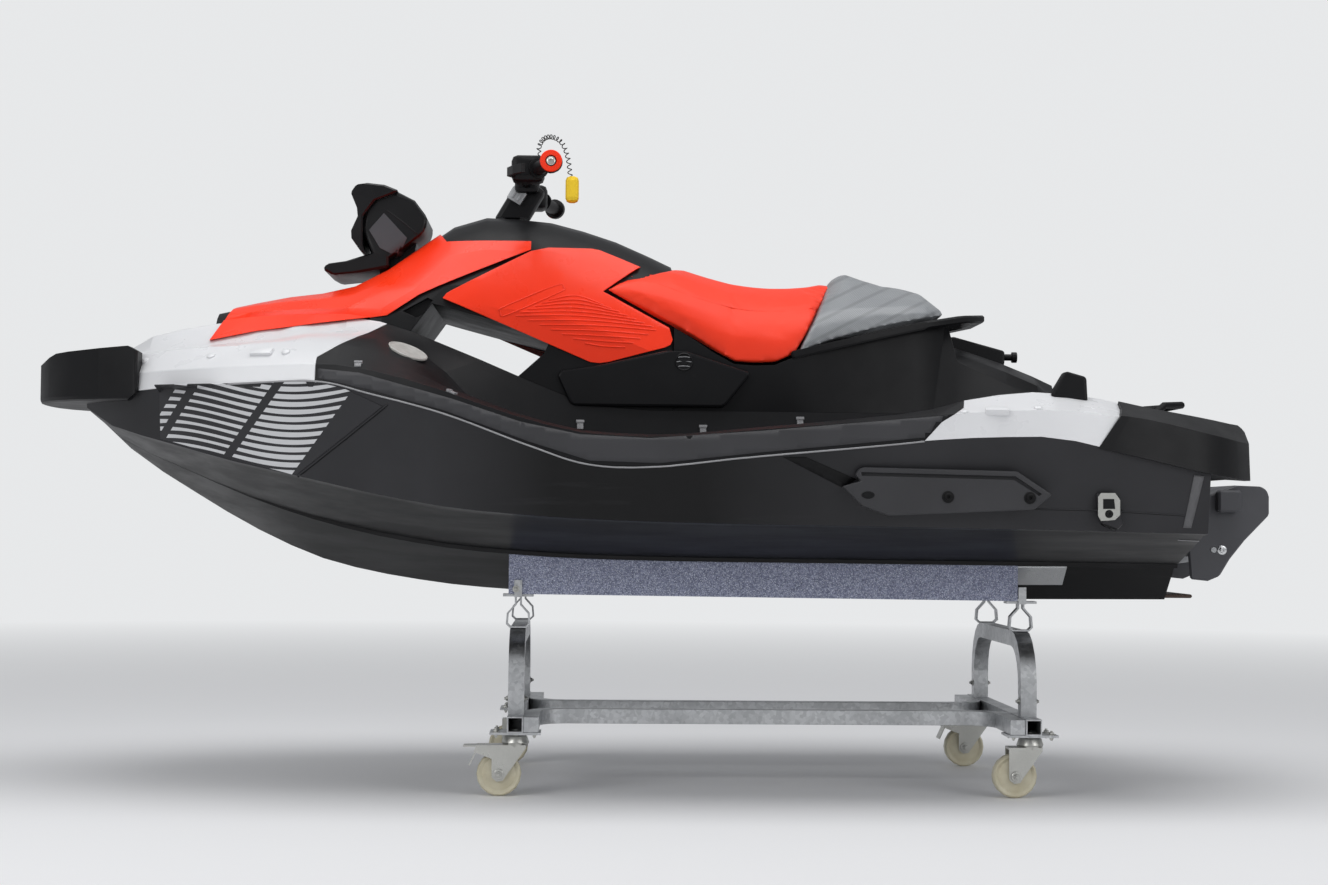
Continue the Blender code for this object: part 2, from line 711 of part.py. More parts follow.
def seat_half(x, by=0.0):
    _, edge_y, edge_z, side_y, side_z, shoulder_y, shoulder_z, top_z = row_at(SEAT, x)
    top_y = 0.5 * shoulder_y
    half = list(reversed(seat_underside(x))) + [
        (side_y, side_z),
        (shoulder_y, shoulder_z),
        (top_y, top_z - 0.006),
        (0.0, top_z),
    ]
    return grown(softened(half, {4: 0.018, 5: 0.030}), by)


def base_half(x, by=0.0):
    """Seat base and tail cowl: its top follows the underside of the seat, then the cowl's rows."""
    if x <= SEAT[-1][0]:
        top = [(y, z - 2 * GAP) for y, z in seat_underside(x)]
        top[0] = (top[0][0] - 0.001, top[0][1])
    else:
        row = row_at(COWL, x)
        top = [(row[1], row[2]), (row[3], row[4]), (row[5], row[6]), (0.0, row[6] + 0.003)]
    return grown(foot_points(x) + top, by)


def rings(half_at, xs, by=0.0):
    return [ring_of(half_at(x, by), x) for x in xs]


def room_mesh(half_at, xs, by=GAP * 1.5):
    """The lofted body grown on every side, ends too, to cut its neighbours clear of it."""
    first, last = ring_of(half_at(xs[0], by), xs[0] - by), ring_of(half_at(xs[-1], by), xs[-1] + by)
    return loft_mesh([first] + rings(half_at, xs[1:-1], by) + [last])


def skin_panel(half_at, xs, outline, thick, y_low, *rooms):
    """A panel of even thickness on the port side of a lofted body, trimmed to an (x, z) outline."""
    outer = loft_mesh(rings(half_at, xs, GAP + thick))
    inner = room_mesh(half_at, xs, GAP)
    shape = prism_mesh(outline, -0.9, -y_low)
    return largest(cut(common(outer, shape), inner, *rooms))


def add_pair(name, mesh, material, origin=(0.0, 0.0, 0.0)):
    """The port piece and its mirror image."""
    other = mirrored(mesh)
    add_object(name + "_port", mesh, material, origin)
    add_object(name + "_starboard", other, material, origin)


def build_hull(black):
    body = loft_mesh(rings(hull_half, HULL_STATIONS))
    after = TRANSOM_X + 0.1
    tunnel = prism_mesh(
        [(INTAKE_START_X, 0.40), (after, 0.40), (after, TUNNEL_TOP_Z), (0.94, TUNNEL_TOP_Z), (0.90, 0.655),
         (0.70, 0.520), (INTAKE_START_X + 0.02, 0.460)],
        -TUNNEL_HALF, TUNNEL_HALF,
    )
    shaft = rod_mesh((0.70, 0, JET_Z), (0.93, 0, JET_Z), SHAFT_R + PIN_GAP, 20)
    eyelets = []
    for side in (-1, 1):
        low, high = sorted((side * 0.46, side * EYELET_Y))
        plate = prism_mesh([(0.945, 0.688), (0.990, 0.682), (1.006, 0.622), (0.992, 0.606), (0.960, 0.618)],
                           low, high)
        hole = rod_mesh((0.978, side * 0.60, 0.640), (0.978, side * 0.538, 0.640), 0.009, 16)
        eyelets.append(cut(rounded(plate, 0.004, 1), hole))
    add_object("hull", cut(union(body, *eyelets), tunnel, shaft), black)


BOW_PANEL_EDGE = [(-0.763, 0.80), (-0.763, 0.972), (-0.612, 1.072), (-0.600, 1.30)]
REAR_PANEL_OUTLINE = [(0.556, 0.70), (0.562, 0.797), (0.600, 0.838), (0.655, 0.872), (0.720, 1.0),
                      (1.020, 1.0), (1.009, 0.873), (0.946, 0.785), (0.940, 0.70)]
REAR_BUMPER_OUTLINE = [(0.940, 0.60), (0.946, 0.786), (1.009, 0.874), (1.020, 1.0), (1.45, 1.0),
                       (1.45, 0.60)]
REAR_PANEL_INNER_Y = 0.444
REAR_BUMPER_INNER_Y = 0.395


def build_deck(black, white, rubber):
    whole = loft_mesh(rings(deck_half, DECK_STATIONS))
    bow = prism_mesh([(-1.6, 0.80)] + BOW_PANEL_EDGE + [(-1.6, 1.30)], -0.9, 0.9)
    add_object("bow_deck_panel", common(whole.copy(), bow), white)
    edge = [(x + GAP, z) for x, z in BOW_PANEL_EDGE]
    not_bow = prism_mesh([(-1.6, 0.80)] + edge + [(-1.6, 1.30)], -0.9, 0.9)
    cuts = [not_bow]
    for side in (-1, 1):
        low, high = sorted((side * 0.9, side * (REAR_PANEL_INNER_Y - GAP)))
        cuts.append(prism_mesh(REAR_PANEL_OUTLINE, low, high))
        low, high = sorted((side * 0.9, side * (REAR_BUMPER_INNER_Y - GAP)))
        cuts.append(prism_mesh(REAR_BUMPER_OUTLINE, low, high))
    add_object("deck", cut(whole.copy(), *cuts), black)
    panel = common(whole.copy(), prism_mesh(inset(REAR_PANEL_OUTLINE, GAP), -0.9, -REAR_PANEL_INNER_Y))
    add_pair("rear_deck_panel", panel, white)
    proud = loft_mesh([ring_of(bumper_half(x), x) for x in spaced(0.93, STERN_X + 0.028, 0.045)])
    bumper = common(proud, prism_mesh(inset(REAR_BUMPER_OUTLINE, GAP), -0.9, -REAR_BUMPER_INNER_Y))
    bumper = cut(bumper, room_mesh(hull_half, HULL_STATIONS))
    add_pair("rear_bumper", bumper, rubber)


def bumper_half(x):
    """The stern bumper stands proud of the deck's edge and rounds in at its end."""
    half = deck_half(min(x, STERN_X))
    swell = BUMPER_PROUD * min(1.0, (x - 0.93) / 0.10)
    tuck = 1.0 - 0.10 * max(0.0, (x - STERN_X) / 0.028) ** 2
    pushed = []
    for i, (y, z) in enumerate(half):
        out = swell if 1 <= i <= 3 else 0.0
        drop = -0.004 if i == 1 else 0.0
        lift = 0.004 * swell / BUMPER_PROUD if i in (2, 3) else 0.0
        pushed.append(((y + out) * tuck if i else 0.0, z + drop + lift))
    return pushed


def build_bow_bumper(rubber):
    outer = [(-1.459, 0.0), (-1.456, 0.075), (-1.440, 0.145), (-1.405, 0.215), (-1.350, 0.275),
             (-1.270, 0.325), (-1.178, 0.362), (-1.172, 0.310), (-1.240, 0.265), (-1.286, 0.190), (-1.292, 0.0)]
    outline = outer + [(x, -y) for x, y in reversed(outer[1:-1])]
    block = rounded(prism_mesh(outline, 0.880, 1.004, "Z"), 0.010, 2, 0.9)
    slope = prism_mesh([(-1.50, 0.955), (-1.455, 0.962), (-1.385, 0.990), (-1.20, 1.002), (-1.15, 0.975),
                        (-1.166, 0.907), (-1.20, 0.880), (-1.50, 0.880)], -0.5, 0.5)
    block = common(block, slope)
    block = cut(block, room_mesh(deck_half, DECK_STATIONS[:12], BUMPER_GAP))
    block = cut(block, room_mesh(hull_half, HULL_STATIONS[:12], BUMPER_GAP))
    add_object("bow_bumper", block, rubber)


CONSOLE_WINDOW = [(-0.600, 1.010), (-0.525, 1.112), (-0.250, 1.040), (-0.268, 1.000), (-0.345, 0.930)]
CONSOLE_POCKET = [(-0.592, 1.094), (-0.560, 1.078), (-0.545, 1.086), (-0.524, 1.120), (-0.536, 1.126)]
FRONT_FAIRING = [(-1.034, 1.024), (-0.985, 1.130), (-0.600, 1.400), (-0.500, 1.268), (-0.302, 1.268),
                 (-0.302, 1.246), (-0.506, 1.157), (-0.556, 1.134), (-0.628, 1.084), (-0.800, 1.062),
                 (-0.930, 1.046)]
SIDE_FAIRING = [(-0.501, 1.124), (-0.492, 1.136), (-0.482, 1.142), (-0.302, 1.241), (-0.262, 1.251),
                (-0.160, 1.253), (-0.142, 1.250), (-0.046, 1.212), (-0.036, 1.204), (0.020, 1.062),
                (0.027, 1.036), (0.022, 1.024), (0.008, 1.017), (-0.120, 0.982), (-0.140, 0.979),
                (-0.162, 0.981)]


def front_skin(by):
    """The hood's surface: the deck and the console that stands on it, as one body."""
    deck_xs = within(DECK_STATIONS, -1.12, -0.50)
    console = loft_mesh(rings(sunk_console(0.010), CONSOLE_STATIONS, by))
    return union(loft_mesh(rings(deck_half, deck_xs, by)), console)


def build_console(black, red):
    core = loft_mesh(rings(console_half, CONSOLE_STATIONS))
    foot, top = Vector(COLUMN_FOOT), Vector(COLUMN_TOP)
    axis = (top - foot).normalized()
    cuts = [
        prism_mesh(CONSOLE_WINDOW, -0.5, 0.5),
        rod_mesh(foot - axis * 0.029, foot + axis * 0.03, COLUMN_PIN_R + PIN_GAP, 24),
    ]
    for low, high in ((-0.5, -0.250), (0.250, 0.5)):
        cuts.append(prism_mesh(CONSOLE_POCKET, low, high))
    add_object("console", cut(core, *cuts), black)
    front = common(front_skin(GAP + PANEL_THICK), prism_mesh(FRONT_FAIRING, -0.9, -0.045))
    console_room = room_mesh(sunk_console(0.020), CONSOLE_STATIONS, GAP)
    front = cut(front, console_room, room_mesh(deck_half, DECK_STATIONS, GAP))
    add_pair("front_fairing", largest(front), red)
    seat_room = prism_mesh(inset(SEAT_OUTLINE, -2 * GAP), -0.6, 0.6)
    side = skin_panel(console_half, CONSOLE_STATIONS, SIDE_FAIRING, PANEL_THICK * 2, 0.10, seat_room)
    add_pair("side_fairing", side, red)


def build_seat(black, red, silver):
    add_object("seat_base", loft_mesh(rings(base_half, BASE_STATIONS)), black)
    cushion = loft_mesh(rings(seat_half, SEAT_STATIONS))
    cushion = cut(cushion, room_mesh(console_half, CONSOLE_STATIONS))
    cushion = common(cushion, prism_mesh(SEAT_OUTLINE, -0.5, 0.5))
    split = [(0.257, 0.90), (0.435, 1.235), (0.440, 1.40)]
    front_block = prism_mesh([(-0.5, 0.90)] + split + [(-0.5, 1.40)], -0.5, 0.5)
    rear_block = prism_mesh([(x + GAP, z) for x, z in split] + [(1.0, 1.40), (1.0, 0.90)], -0.5, 0.5)
    add_object("seat_front", common(cushion.copy(), front_block), red)
    add_object("seat_tail", common(cushion, rear_block), silver)


ENGINE_COVER = [(-0.236, 0.948), (-0.228, 0.961), (-0.150, 0.9725), (0.010, 1.0085), (0.058, 1.008),
                (0.200, 0.962), (0.204, 0.954), (0.150, 0.886), (0.140, 0.880), (-0.196, 0.880),
                (-0.208, 0.888)]
ENGINE_COVER_Y = 0.296


def build_engine_covers(dark):
    """The black side covers below the side fairings, standing off the console and the seat base."""
    plate = rounded(prism_mesh(ENGINE_COVER, -ENGINE_COVER_Y, -0.20), 0.006, 2, 0.9)
    plate = cut(plate, room_mesh(console_half, CONSOLE_STATIONS), room_mesh(base_half, BASE_STATIONS),
                room_mesh(deck_half, DECK_STATIONS))
    add_pair("engine_cover", largest(plate), dark)


POD_BODY = [(-0.705, 1.300), (-0.700, 1.352), (-0.664, 1.392), (-0.632, 1.398), (-0.580, 1.372),
            (-0.548, 1.330), (-0.556, 1.297), (-0.600, 1.262), (-0.648, 1.228), (-0.676, 1.232)]
POD_VISOR = [(-0.729, 1.386), (-0.716, 1.405), (-0.690, 1.409), (-0.650, 1.405), (-0.616, 1.392),
             (-0.632, 1.384), (-0.672, 1.368), (-0.700, 1.330), (-0.700, 1.262), (-0.690, 1.236),
             (-0.706, 1.250), (-0.726, 1.278), (-0.727, 1.296), (-0.712, 1.330), (-0.714, 1.350)]
POD_FIN = [(-0.794, 1.205), (-0.785, 1.219), (-0.740, 1.226), (-0.676, 1.247), (-0.640, 1.250),
           (-0.640, 1.212), (-0.700, 1.200), (-0.770, 1.192)]
POD_STALK = [(-0.668, 1.160), (-0.600, 1.170), (-0.575, 1.300), (-0.660, 1.300)]


def build_gauge_pod(black):
    body = rounded(prism_mesh(POD_BODY, -0.116, 0.116), 0.018, 2, 0.6)
    visor = rounded(prism_mesh(POD_VISOR, -0.134, 0.134), 0.005, 1, 0.6)
    fin = rounded(prism_mesh(POD_FIN, -0.115, 0.115), 0.005, 1)
    pod = union(body, visor, fin, prism_mesh(POD_STALK, -0.045, 0.045))
    room = cut(pod, room_mesh(console_half, CONSOLE_STATIONS))
    add_object("gauge_pod", cut(room, front_skin(2 * GAP + PANEL_THICK)), black)


def bar_points():
    """The handlebar from end to end: flat across the clamp, then swept back to the grips."""
    half = [(BAR_CENTRE[0], 0.0, BAR_CENTRE[1]), (BAR_CENTRE[0], 0.085, BAR_CENTRE[1] + 0.001),
            (-0.312, 0.150, BAR_CENTRE[1] + 0.004), (GRIP_END[0] - 0.030, GRIP_INNER_Y, GRIP_END[1] + 0.003),
            (GRIP_END[0], BAR_HALF_WIDTH, GRIP_END[1])]
    return [(x, -y, z) for x, y, z in reversed(half[1:])] + half


SWITCH_POD = ((-0.348, -POD_Y - 0.034, 1.398), (-0.272, -POD_Y + 0.034, 1.460))
FLOAT = ((-0.222, -0.386, 1.336), (-0.192, -0.342, 1.394))
LANYARD_R = 0.006
LANYARD_ROUTE = [(-0.282, -0.262, 1.452), (-0.285, -0.262, 1.475), (-0.275, -0.290, 1.491),
                 (-0.255, -0.325, 1.491), (-0.232, -0.352, 1.474), (-0.218, -0.364, 1.440),
                 (-0.212, -0.366, 1.400), (-0.209, -0.364, 1.378)]


def grown_box(box, by):
    return box_mesh([value - by for value in box[0]], [value + by for value in box[1]])


def build_steering(black, dark, yellow):
    foot, top = Vector(COLUMN_FOOT), Vector(COLUMN_TOP)
    axis = (top - foot).normalized()
    section = [(-0.030, -0.036), (0.030, -0.036), (0.030, 0.036), (-0.030, 0.036)]
    riser = rounded(sweep_mesh([foot - axis * 0.03, top - axis * 0.008], section, up=(1, 0, 0.2)), 0.012, 2)
    riser = cut(riser, box_mesh((-0.6, -0.2, 1.20), (0.0, 0.2, COLUMN_CLEAR_Z)))
    pin = rod_mesh(foot - axis * 0.0285, foot + axis * 0.02, COLUMN_PIN_R, 24)
    clamp = rounded(box_mesh((-0.346, -0.058, 1.402), (-0.288, 0.058, 1.447)), 0.010, 2)
    bar_room = wire_mesh(bar_points(), BAR_R + GAP)
    add_object("steering_column", cut(union(riser, pin, clamp), bar_room), black, COLUMN_FOOT)
    add_object("handlebar", wire_mesh(bar_points(), BAR_R), black, COLUMN_FOOT)
    inner = Vector((GRIP_END[0] - 0.030, -GRIP_INNER_Y, GRIP_END[1] + 0.003))
    outer = Vector((GRIP_END[0], -BAR_HALF_WIDTH, GRIP_END[1]))
    ahead = (outer - inner).normalized()
    tip = outer + ahead * 0.010
    grip = union(
        rod_mesh(inner, tip, GRIP_R, 16),
        rod_mesh(inner, inner + ahead * 0.007, GRIP_R + 0.007, 16),
        rod_mesh(tip - ahead * 0.012, tip + ahead * 0.002, GRIP_R + 0.0085, 20),
    )
    add_pair("grip", cut(grip, bar_room.copy()), dark, COLUMN_FOOT)
    pod = rounded(box_mesh(*SWITCH_POD), 0.014, 2)
    lever = sweep_mesh(
        [(-0.338, -POD_Y - 0.010, 1.418), (-0.352, -POD_Y - 0.050, 1.416), (-0.338, -POD_Y - 0.100, 1.414),
         (-0.318, -POD_Y - 0.142, 1.412)],
        [(-0.005, -0.010), (0.005, -0.010), (0.005, 0.010), (-0.005, 0.010)],
    )
    pod = cut(union(pod, lever), bar_room.copy(), rod_mesh(inner - ahead * GAP, tip, GRIP_R + 0.0095, 20))
    add_pair("switch_pod", pod, black, COLUMN_FOOT)
    cord = wire_mesh(smooth_route(LANYARD_ROUTE, 0.026), LANYARD_R, 2)
    cord = cut(cord, rounded(grown_box(SWITCH_POD, GAP), 0.014, 2), grown_box(FLOAT, GAP))
    add_object("lanyard_cord", largest(cord), dark, COLUMN_FOOT)
    add_object("lanyard_float", rounded(box_mesh(*FLOAT), 0.010, 2), yellow, COLUMN_FOOT)


def build_deck_fittings(black, dark):
    deck_room = room_mesh(deck_half, DECK_STATIONS)
    wedge = prism_mesh([(0.852, 0.86), (0.859, 0.907), (0.890, 0.959), (0.937, 0.946), (0.942, 0.86)],
                       -0.492, -0.452)
    add_pair("gunwale_wedge", cut(rounded(wedge, 0.006, 2), deck_room.copy()), dark)
    loop = wire_mesh(
        [(1.190, -0.100, 0.790), (1.190, -0.100, 0.888), (1.212, -0.095, 0.906), (1.262, -0.062, 0.909),
         (1.262, 0.062, 0.909), (1.212, 0.095, 0.906), (1.190, 0.100, 0.888), (1.190, 0.100, 0.790)],
        0.009,
    )
    add_object("stern_loop", cut(loop, deck_room.copy()), black)
    base_room = room_mesh(base_half, BASE_STATIONS)
    handle = sweep_mesh(
        [(0.300, -0.262, 1.003), (0.450, -0.252, 1.040), (0.620, -0.206, 1.082), (0.715, -0.150, 1.101),
         (0.765, -0.080, 1.109), (0.765, 0.080, 1.109), (0.715, 0.150, 1.101), (0.620, 0.206, 1.082),
         (0.450, 0.252, 1.040), (0.300, 0.262, 1.003)],
        [(-0.015, -0.009), (0.015, -0.009), (0.015, 0.009), (-0.015, 0.009)],
    )
    seat_room = room_mesh(seat_half, SEAT_STATIONS)
    add_object("grab_handle", cut(rounded(handle, 0.004, 1, 0.9), base_room.copy(), seat_room), black)
    outline = [(0.700, 0.98), (0.702, 1.068), (0.716, 1.070), (0.839, 1.037), (0.839, 1.005), (0.800, 0.95)]
    tow = prism_mesh(outline, -0.036, 0.036)
    tow = cut(rounded(tow, 0.006, 2), base_room)
    hook = rod_mesh((0.82, 0, 1.024), (0.866, 0, 1.024), 0.008, 12)
    ball = rod_mesh((0.862, 0, 1.024), (0.874, 0, 1.024), 0.013, 12)
    add_object("tow_eye", union(tow, hook, ball), dark)


SPONSON = [(0.384, 0.697), (0.424, 0.709), (0.412, 0.722), (0.420, 0.735), (0.432, 0.739), (0.764, 0.733),
           (0.841, 0.683), (0.802, 0.650), (0.488, 0.634), (0.428, 0.655)]
SPONSON_GROOVE = [(0.424, 0.728), (0.760, 0.722), (0.818, 0.684), (0.812, 0.680), (0.757, 0.714),
                  (0.426, 0.720)]
SPONSON_OUTER_Y = 0.588
SPONSON_GROOVE_DEPTH = 0.010


def build_hull_fittings(dark):
    room = room_mesh(hull_half, HULL_STATIONS)
    sponson = rounded(prism_mesh(SPONSON, -SPONSON_OUTER_Y, -0.48), 0.005, 2)
    groove = prism_mesh(SPONSON_GROOVE, -0.62, SPONSON_GROOVE_DEPTH - SPONSON_OUTER_Y)
    add_pair("sponson", cut(sponson, groove, room), dark)


def tube_x(start_x, end_x, outer, inner, sides=24, outer_end=None, inner_end=None):
    """A round tube along X, straight or tapering, as a closed turned profile."""
    profile = [(inner, start_x), (outer, start_x), (outer_end or outer, end_x), (inner_end or inner, end_x)]
    return placed(turned_mesh(profile, sides, True), (0, 0, JET_Z), "X")


# Pump's side arm: share of its reach, height above the bucket's pivot
PUMP_ARM = [(0.0, 0.008), (0.21, 0.038), (0.63, 0.028), (1.0, 0.013), (1.0, -0.013), (0.63, -0.017),
            (0.0, -0.017)]


def build_jet(metal, dark, steel):
    height = 0.447
    plate = box_mesh((RIDE_PLATE_START_X + GAP, -TUNNEL_HALF + GAP, height),
                     (RIDE_PLATE_END_X, TUNNEL_HALF - GAP, height + RIDE_PLATE_THICK))
    add_object("ride_plate", rounded(plate, 0.003, 1), dark)
    grate = box_mesh((INTAKE_START_X + 0.03, -TUNNEL_HALF + GAP, height),
                     (RIDE_PLATE_START_X - GAP, TUNNEL_HALF - GAP, height + RIDE_PLATE_THICK))
    slots = []
    for i in range(5):
        y = (i - 2) * 0.040
        slots.append(box_mesh((INTAKE_START_X + 0.06, y - 0.014, 0.40), (0.90, y + 0.014, 0.50)))
    add_object("intake_grate", cut(grate, *slots), metal)
    body = placed(turned_mesh(
        [(PUMP_BORE_R, PUMP_START_X), (PUMP_R, PUMP_START_X), (PUMP_R, PUMP_END_X), (SPOUT_R, PUMP_END_X + 0.030),
         (SPOUT_R, SPOUT_END_X), (SPOUT_BORE_R, SPOUT_END_X), (SPOUT_BORE_R, PUMP_END_X + 0.026),
         (PUMP_BORE_R, PUMP_END_X - 0.006)], 24, True), (0, 0, JET_Z), "X")
    flange = box_mesh((PUMP_START_X + 0.002, -TUNNEL_HALF + GAP, 0.457),
                      (PUMP_START_X + 0.014, TUNNEL_HALF - GAP, TUNNEL_TOP_Z - GAP))
    flange = cut(flange, rod_mesh((PUMP_START_X - 0.04, 0, JET_Z), (PUMP_START_X + 0.06, 0, JET_Z),
                                  PUMP_BORE_R + 0.005, 24))
    pieces = [body, flange]
    hub = rod_mesh((PUMP_END_X - 0.060, 0, JET_Z), (PUMP_END_X, 0, JET_Z), 0.026, 14, 0.012)
    pieces.append(hub)
    for i in range(5):
        angle = math.radians(90 + 72 * i)
        vane = box_mesh((PUMP_END_X - 0.057, -0.003, 0.014), (PUMP_END_X - 0.018, 0.003, PUMP_BORE_R + 0.006))
        vane.transform(Matrix.Translation((0, 0, JET_Z)) @ Matrix.Rotation(angle, 4, "X"))
        pieces.append(vane)
    root_x = PUMP_END_X - 0.050
    reach = BUCKET_PIVOT_X + 0.014 - root_x
    for side in (-1, 1):
        outline = [(root_x + share * reach, BUCKET_PIVOT_Z + rise) for share, rise in PUMP_ARM]
        arm = prism_mesh(outline, side * ARM_Y - 0.0035, side * ARM_Y + 0.0035)
        low, high = sorted((side * 0.080, side * (ARM_Y + 0.003)))
        pieces.append(arm)
        pieces.append(box_mesh((root_x + 0.008, low, 0.552), (root_x + 0.040, high, 0.590)))
        low, high = sorted((side * ARM_Y, side * (BUCKET_HALF_WIDTH + 0.002)))
        end_z = JET_Z + side * (NOZZLE_R - 0.0045)
        pieces.append(rod_mesh((NOZZLE_PIVOT_X, 0, JET_Z + side * 0.037), (NOZZLE_PIVOT_X, 0, end_z),
                               NOZZLE_PIN_R, 12))
        pieces.append(rod_mesh((BUCKET_PIVOT_X, low, BUCKET_PIVOT_Z), (BUCKET_PIVOT_X, high, BUCKET_PIVOT_Z),
                               BUCKET_PIN_R, 12))
    bore = rod_mesh((PUMP_END_X - 0.090, 0, JET_Z), (PUMP_END_X - 0.032, 0, JET_Z), SHAFT_R * 0.7 + PIN_GAP, 16)
    add_object("jet_pump", cut(union(*pieces), bore), metal)
    boss_x = IMPELLER_X - 0.039
    shaft = placed(turned_mesh(
        [(0.0, boss_x - 0.261), (SHAFT_R, boss_x - 0.261), (SHAFT_R, boss_x), (0.024, boss_x + 0.015),
         (0.026, boss_x + 0.078), (SHAFT_R * 0.7, boss_x + 0.078), (SHAFT_R * 0.7, boss_x + 0.106),
         (0.0, boss_x + 0.106)], 16), (0, 0, JET_Z), "X")
    blades = [shaft]
    for i in range(3):
        rows = []
        for k in range(5):
            share = k / 4
            angle = math.radians(120 * i + 80 * share)
            out = Vector((0, math.cos(angle), math.sin(angle)))
            centre = Vector((IMPELLER_X - 0.023 + 0.050 * share, 0, JET_Z))
            rows.append([centre + out * r + Vector((thick, 0, 0)) for r, thick in
                         ((0.016, -0.002), (IMPELLER_R, -0.0015), (IMPELLER_R, 0.0015), (0.016, 0.002))])
        blades.append(loft_mesh(rows))
    add_object("impeller", union(*blades), steel, (IMPELLER_X, 0.0, JET_Z))
    nozzle = tube_x(NOZZLE_START_X, NOZZLE_END_X, NOZZLE_R, NOZZLE_R - NOZZLE_WALL, 24, NOZZLE_TIP_R,
                    NOZZLE_TIP_R - NOZZLE_WALL)
    pivot = rod_mesh((NOZZLE_PIVOT_X, 0, JET_Z - 0.1), (NOZZLE_PIVOT_X, 0, JET_Z + 0.1), NOZZLE_PIN_R + PIN_GAP, 12)
    add_object("steering_nozzle", cut(nozzle, pivot), metal, (NOZZLE_PIVOT_X, 0.0, JET_Z))
    build_bucket(dark)


# Reverse bucket's side and hollow, measured from its pivot
BUCKET_SIDE = [(-0.044, 0.118), (0.051, 0.154), (0.115, 0.152), (0.129, 0.143), (0.134, 0.128),
               (0.134, 0.084), (0.075, 0.023), (0.039, -0.022), (0.015, -0.062), (-0.013, -0.074),
               (-0.055, -0.070), (-0.061, -0.002)]
BUCKET_HOLLOW = [(-0.125, 0.082), (-0.044, 0.110), (0.051, 0.146), (0.113, 0.145), (0.125, 0.138),
                 (0.127, 0.084), (0.127, -0.162), (-0.125, -0.162)]


def from_pivot(pairs):
    return [(BUCKET_PIVOT_X + x, BUCKET_PIVOT_Z + z) for x, z in pairs]


def build_bucket(dark):
    outer = prism_mesh(from_pivot(BUCKET_SIDE), -BUCKET_HALF_WIDTH, BUCKET_HALF_WIDTH)
    wide = BUCKET_HALF_WIDTH - BUCKET_WALL
    pieces = [cut(rounded(outer, 0.004, 1), prism_mesh(from_pivot(BUCKET_HOLLOW), -wide, wide))]
    for hand in (-1, 1):
        low, high = sorted((hand * (BUCKET_HALF_WIDTH - 0.004), hand * (BUCKET_HALF_WIDTH + 0.030)))
        pieces.append(rounded(box_mesh((BUCKET_PIVOT_X + 0.004, low, BUCKET_PIVOT_Z + 0.090),
                                       (BUCKET_PIVOT_X + 0.060, high, BUCKET_PIVOT_Z + 0.142)), 0.005, 1))
    pivot = rod_mesh((BUCKET_PIVOT_X, -0.2, BUCKET_PIVOT_Z), (BUCKET_PIVOT_X, 0.2, BUCKET_PIVOT_Z),
                     BUCKET_PIN_R + PIN_GAP, 12)
    add_object("reverse_bucket", cut(union(*pieces), pivot), dark, (BUCKET_PIVOT_X, 0.0, BUCKET_PIVOT_Z))


def square(size):
    half = size / 2
    return [(-half, -half), (half, -half), (half, half), (-half, half)]


def bunk_strap(x, y, foot_z, top_z):
    """The bent strap between the arch and the bunk: a loop round its bolt, pinched to a neck at the top."""
    path = [(-0.006, top_z), (-0.006, foot_z + 0.052), (-0.024, foot_z + 0.032), (-0.026, foot_z + 0.008),
            (-0.018, foot_z + 0.0005), (0.018, foot_z + 0.0005), (0.026, foot_z + 0.008), (0.024, foot_z + 0.032),
            (0.006, foot_z + 0.052), (0.006, top_z)]
    section = [(-0.002, -0.012), (0.002, -0.012), (0.002, 0.012), (-0.002, 0.012)]
    return sweep_mesh([(x + across, y, z) for across, z in path], section, up=(0, 1, 0))


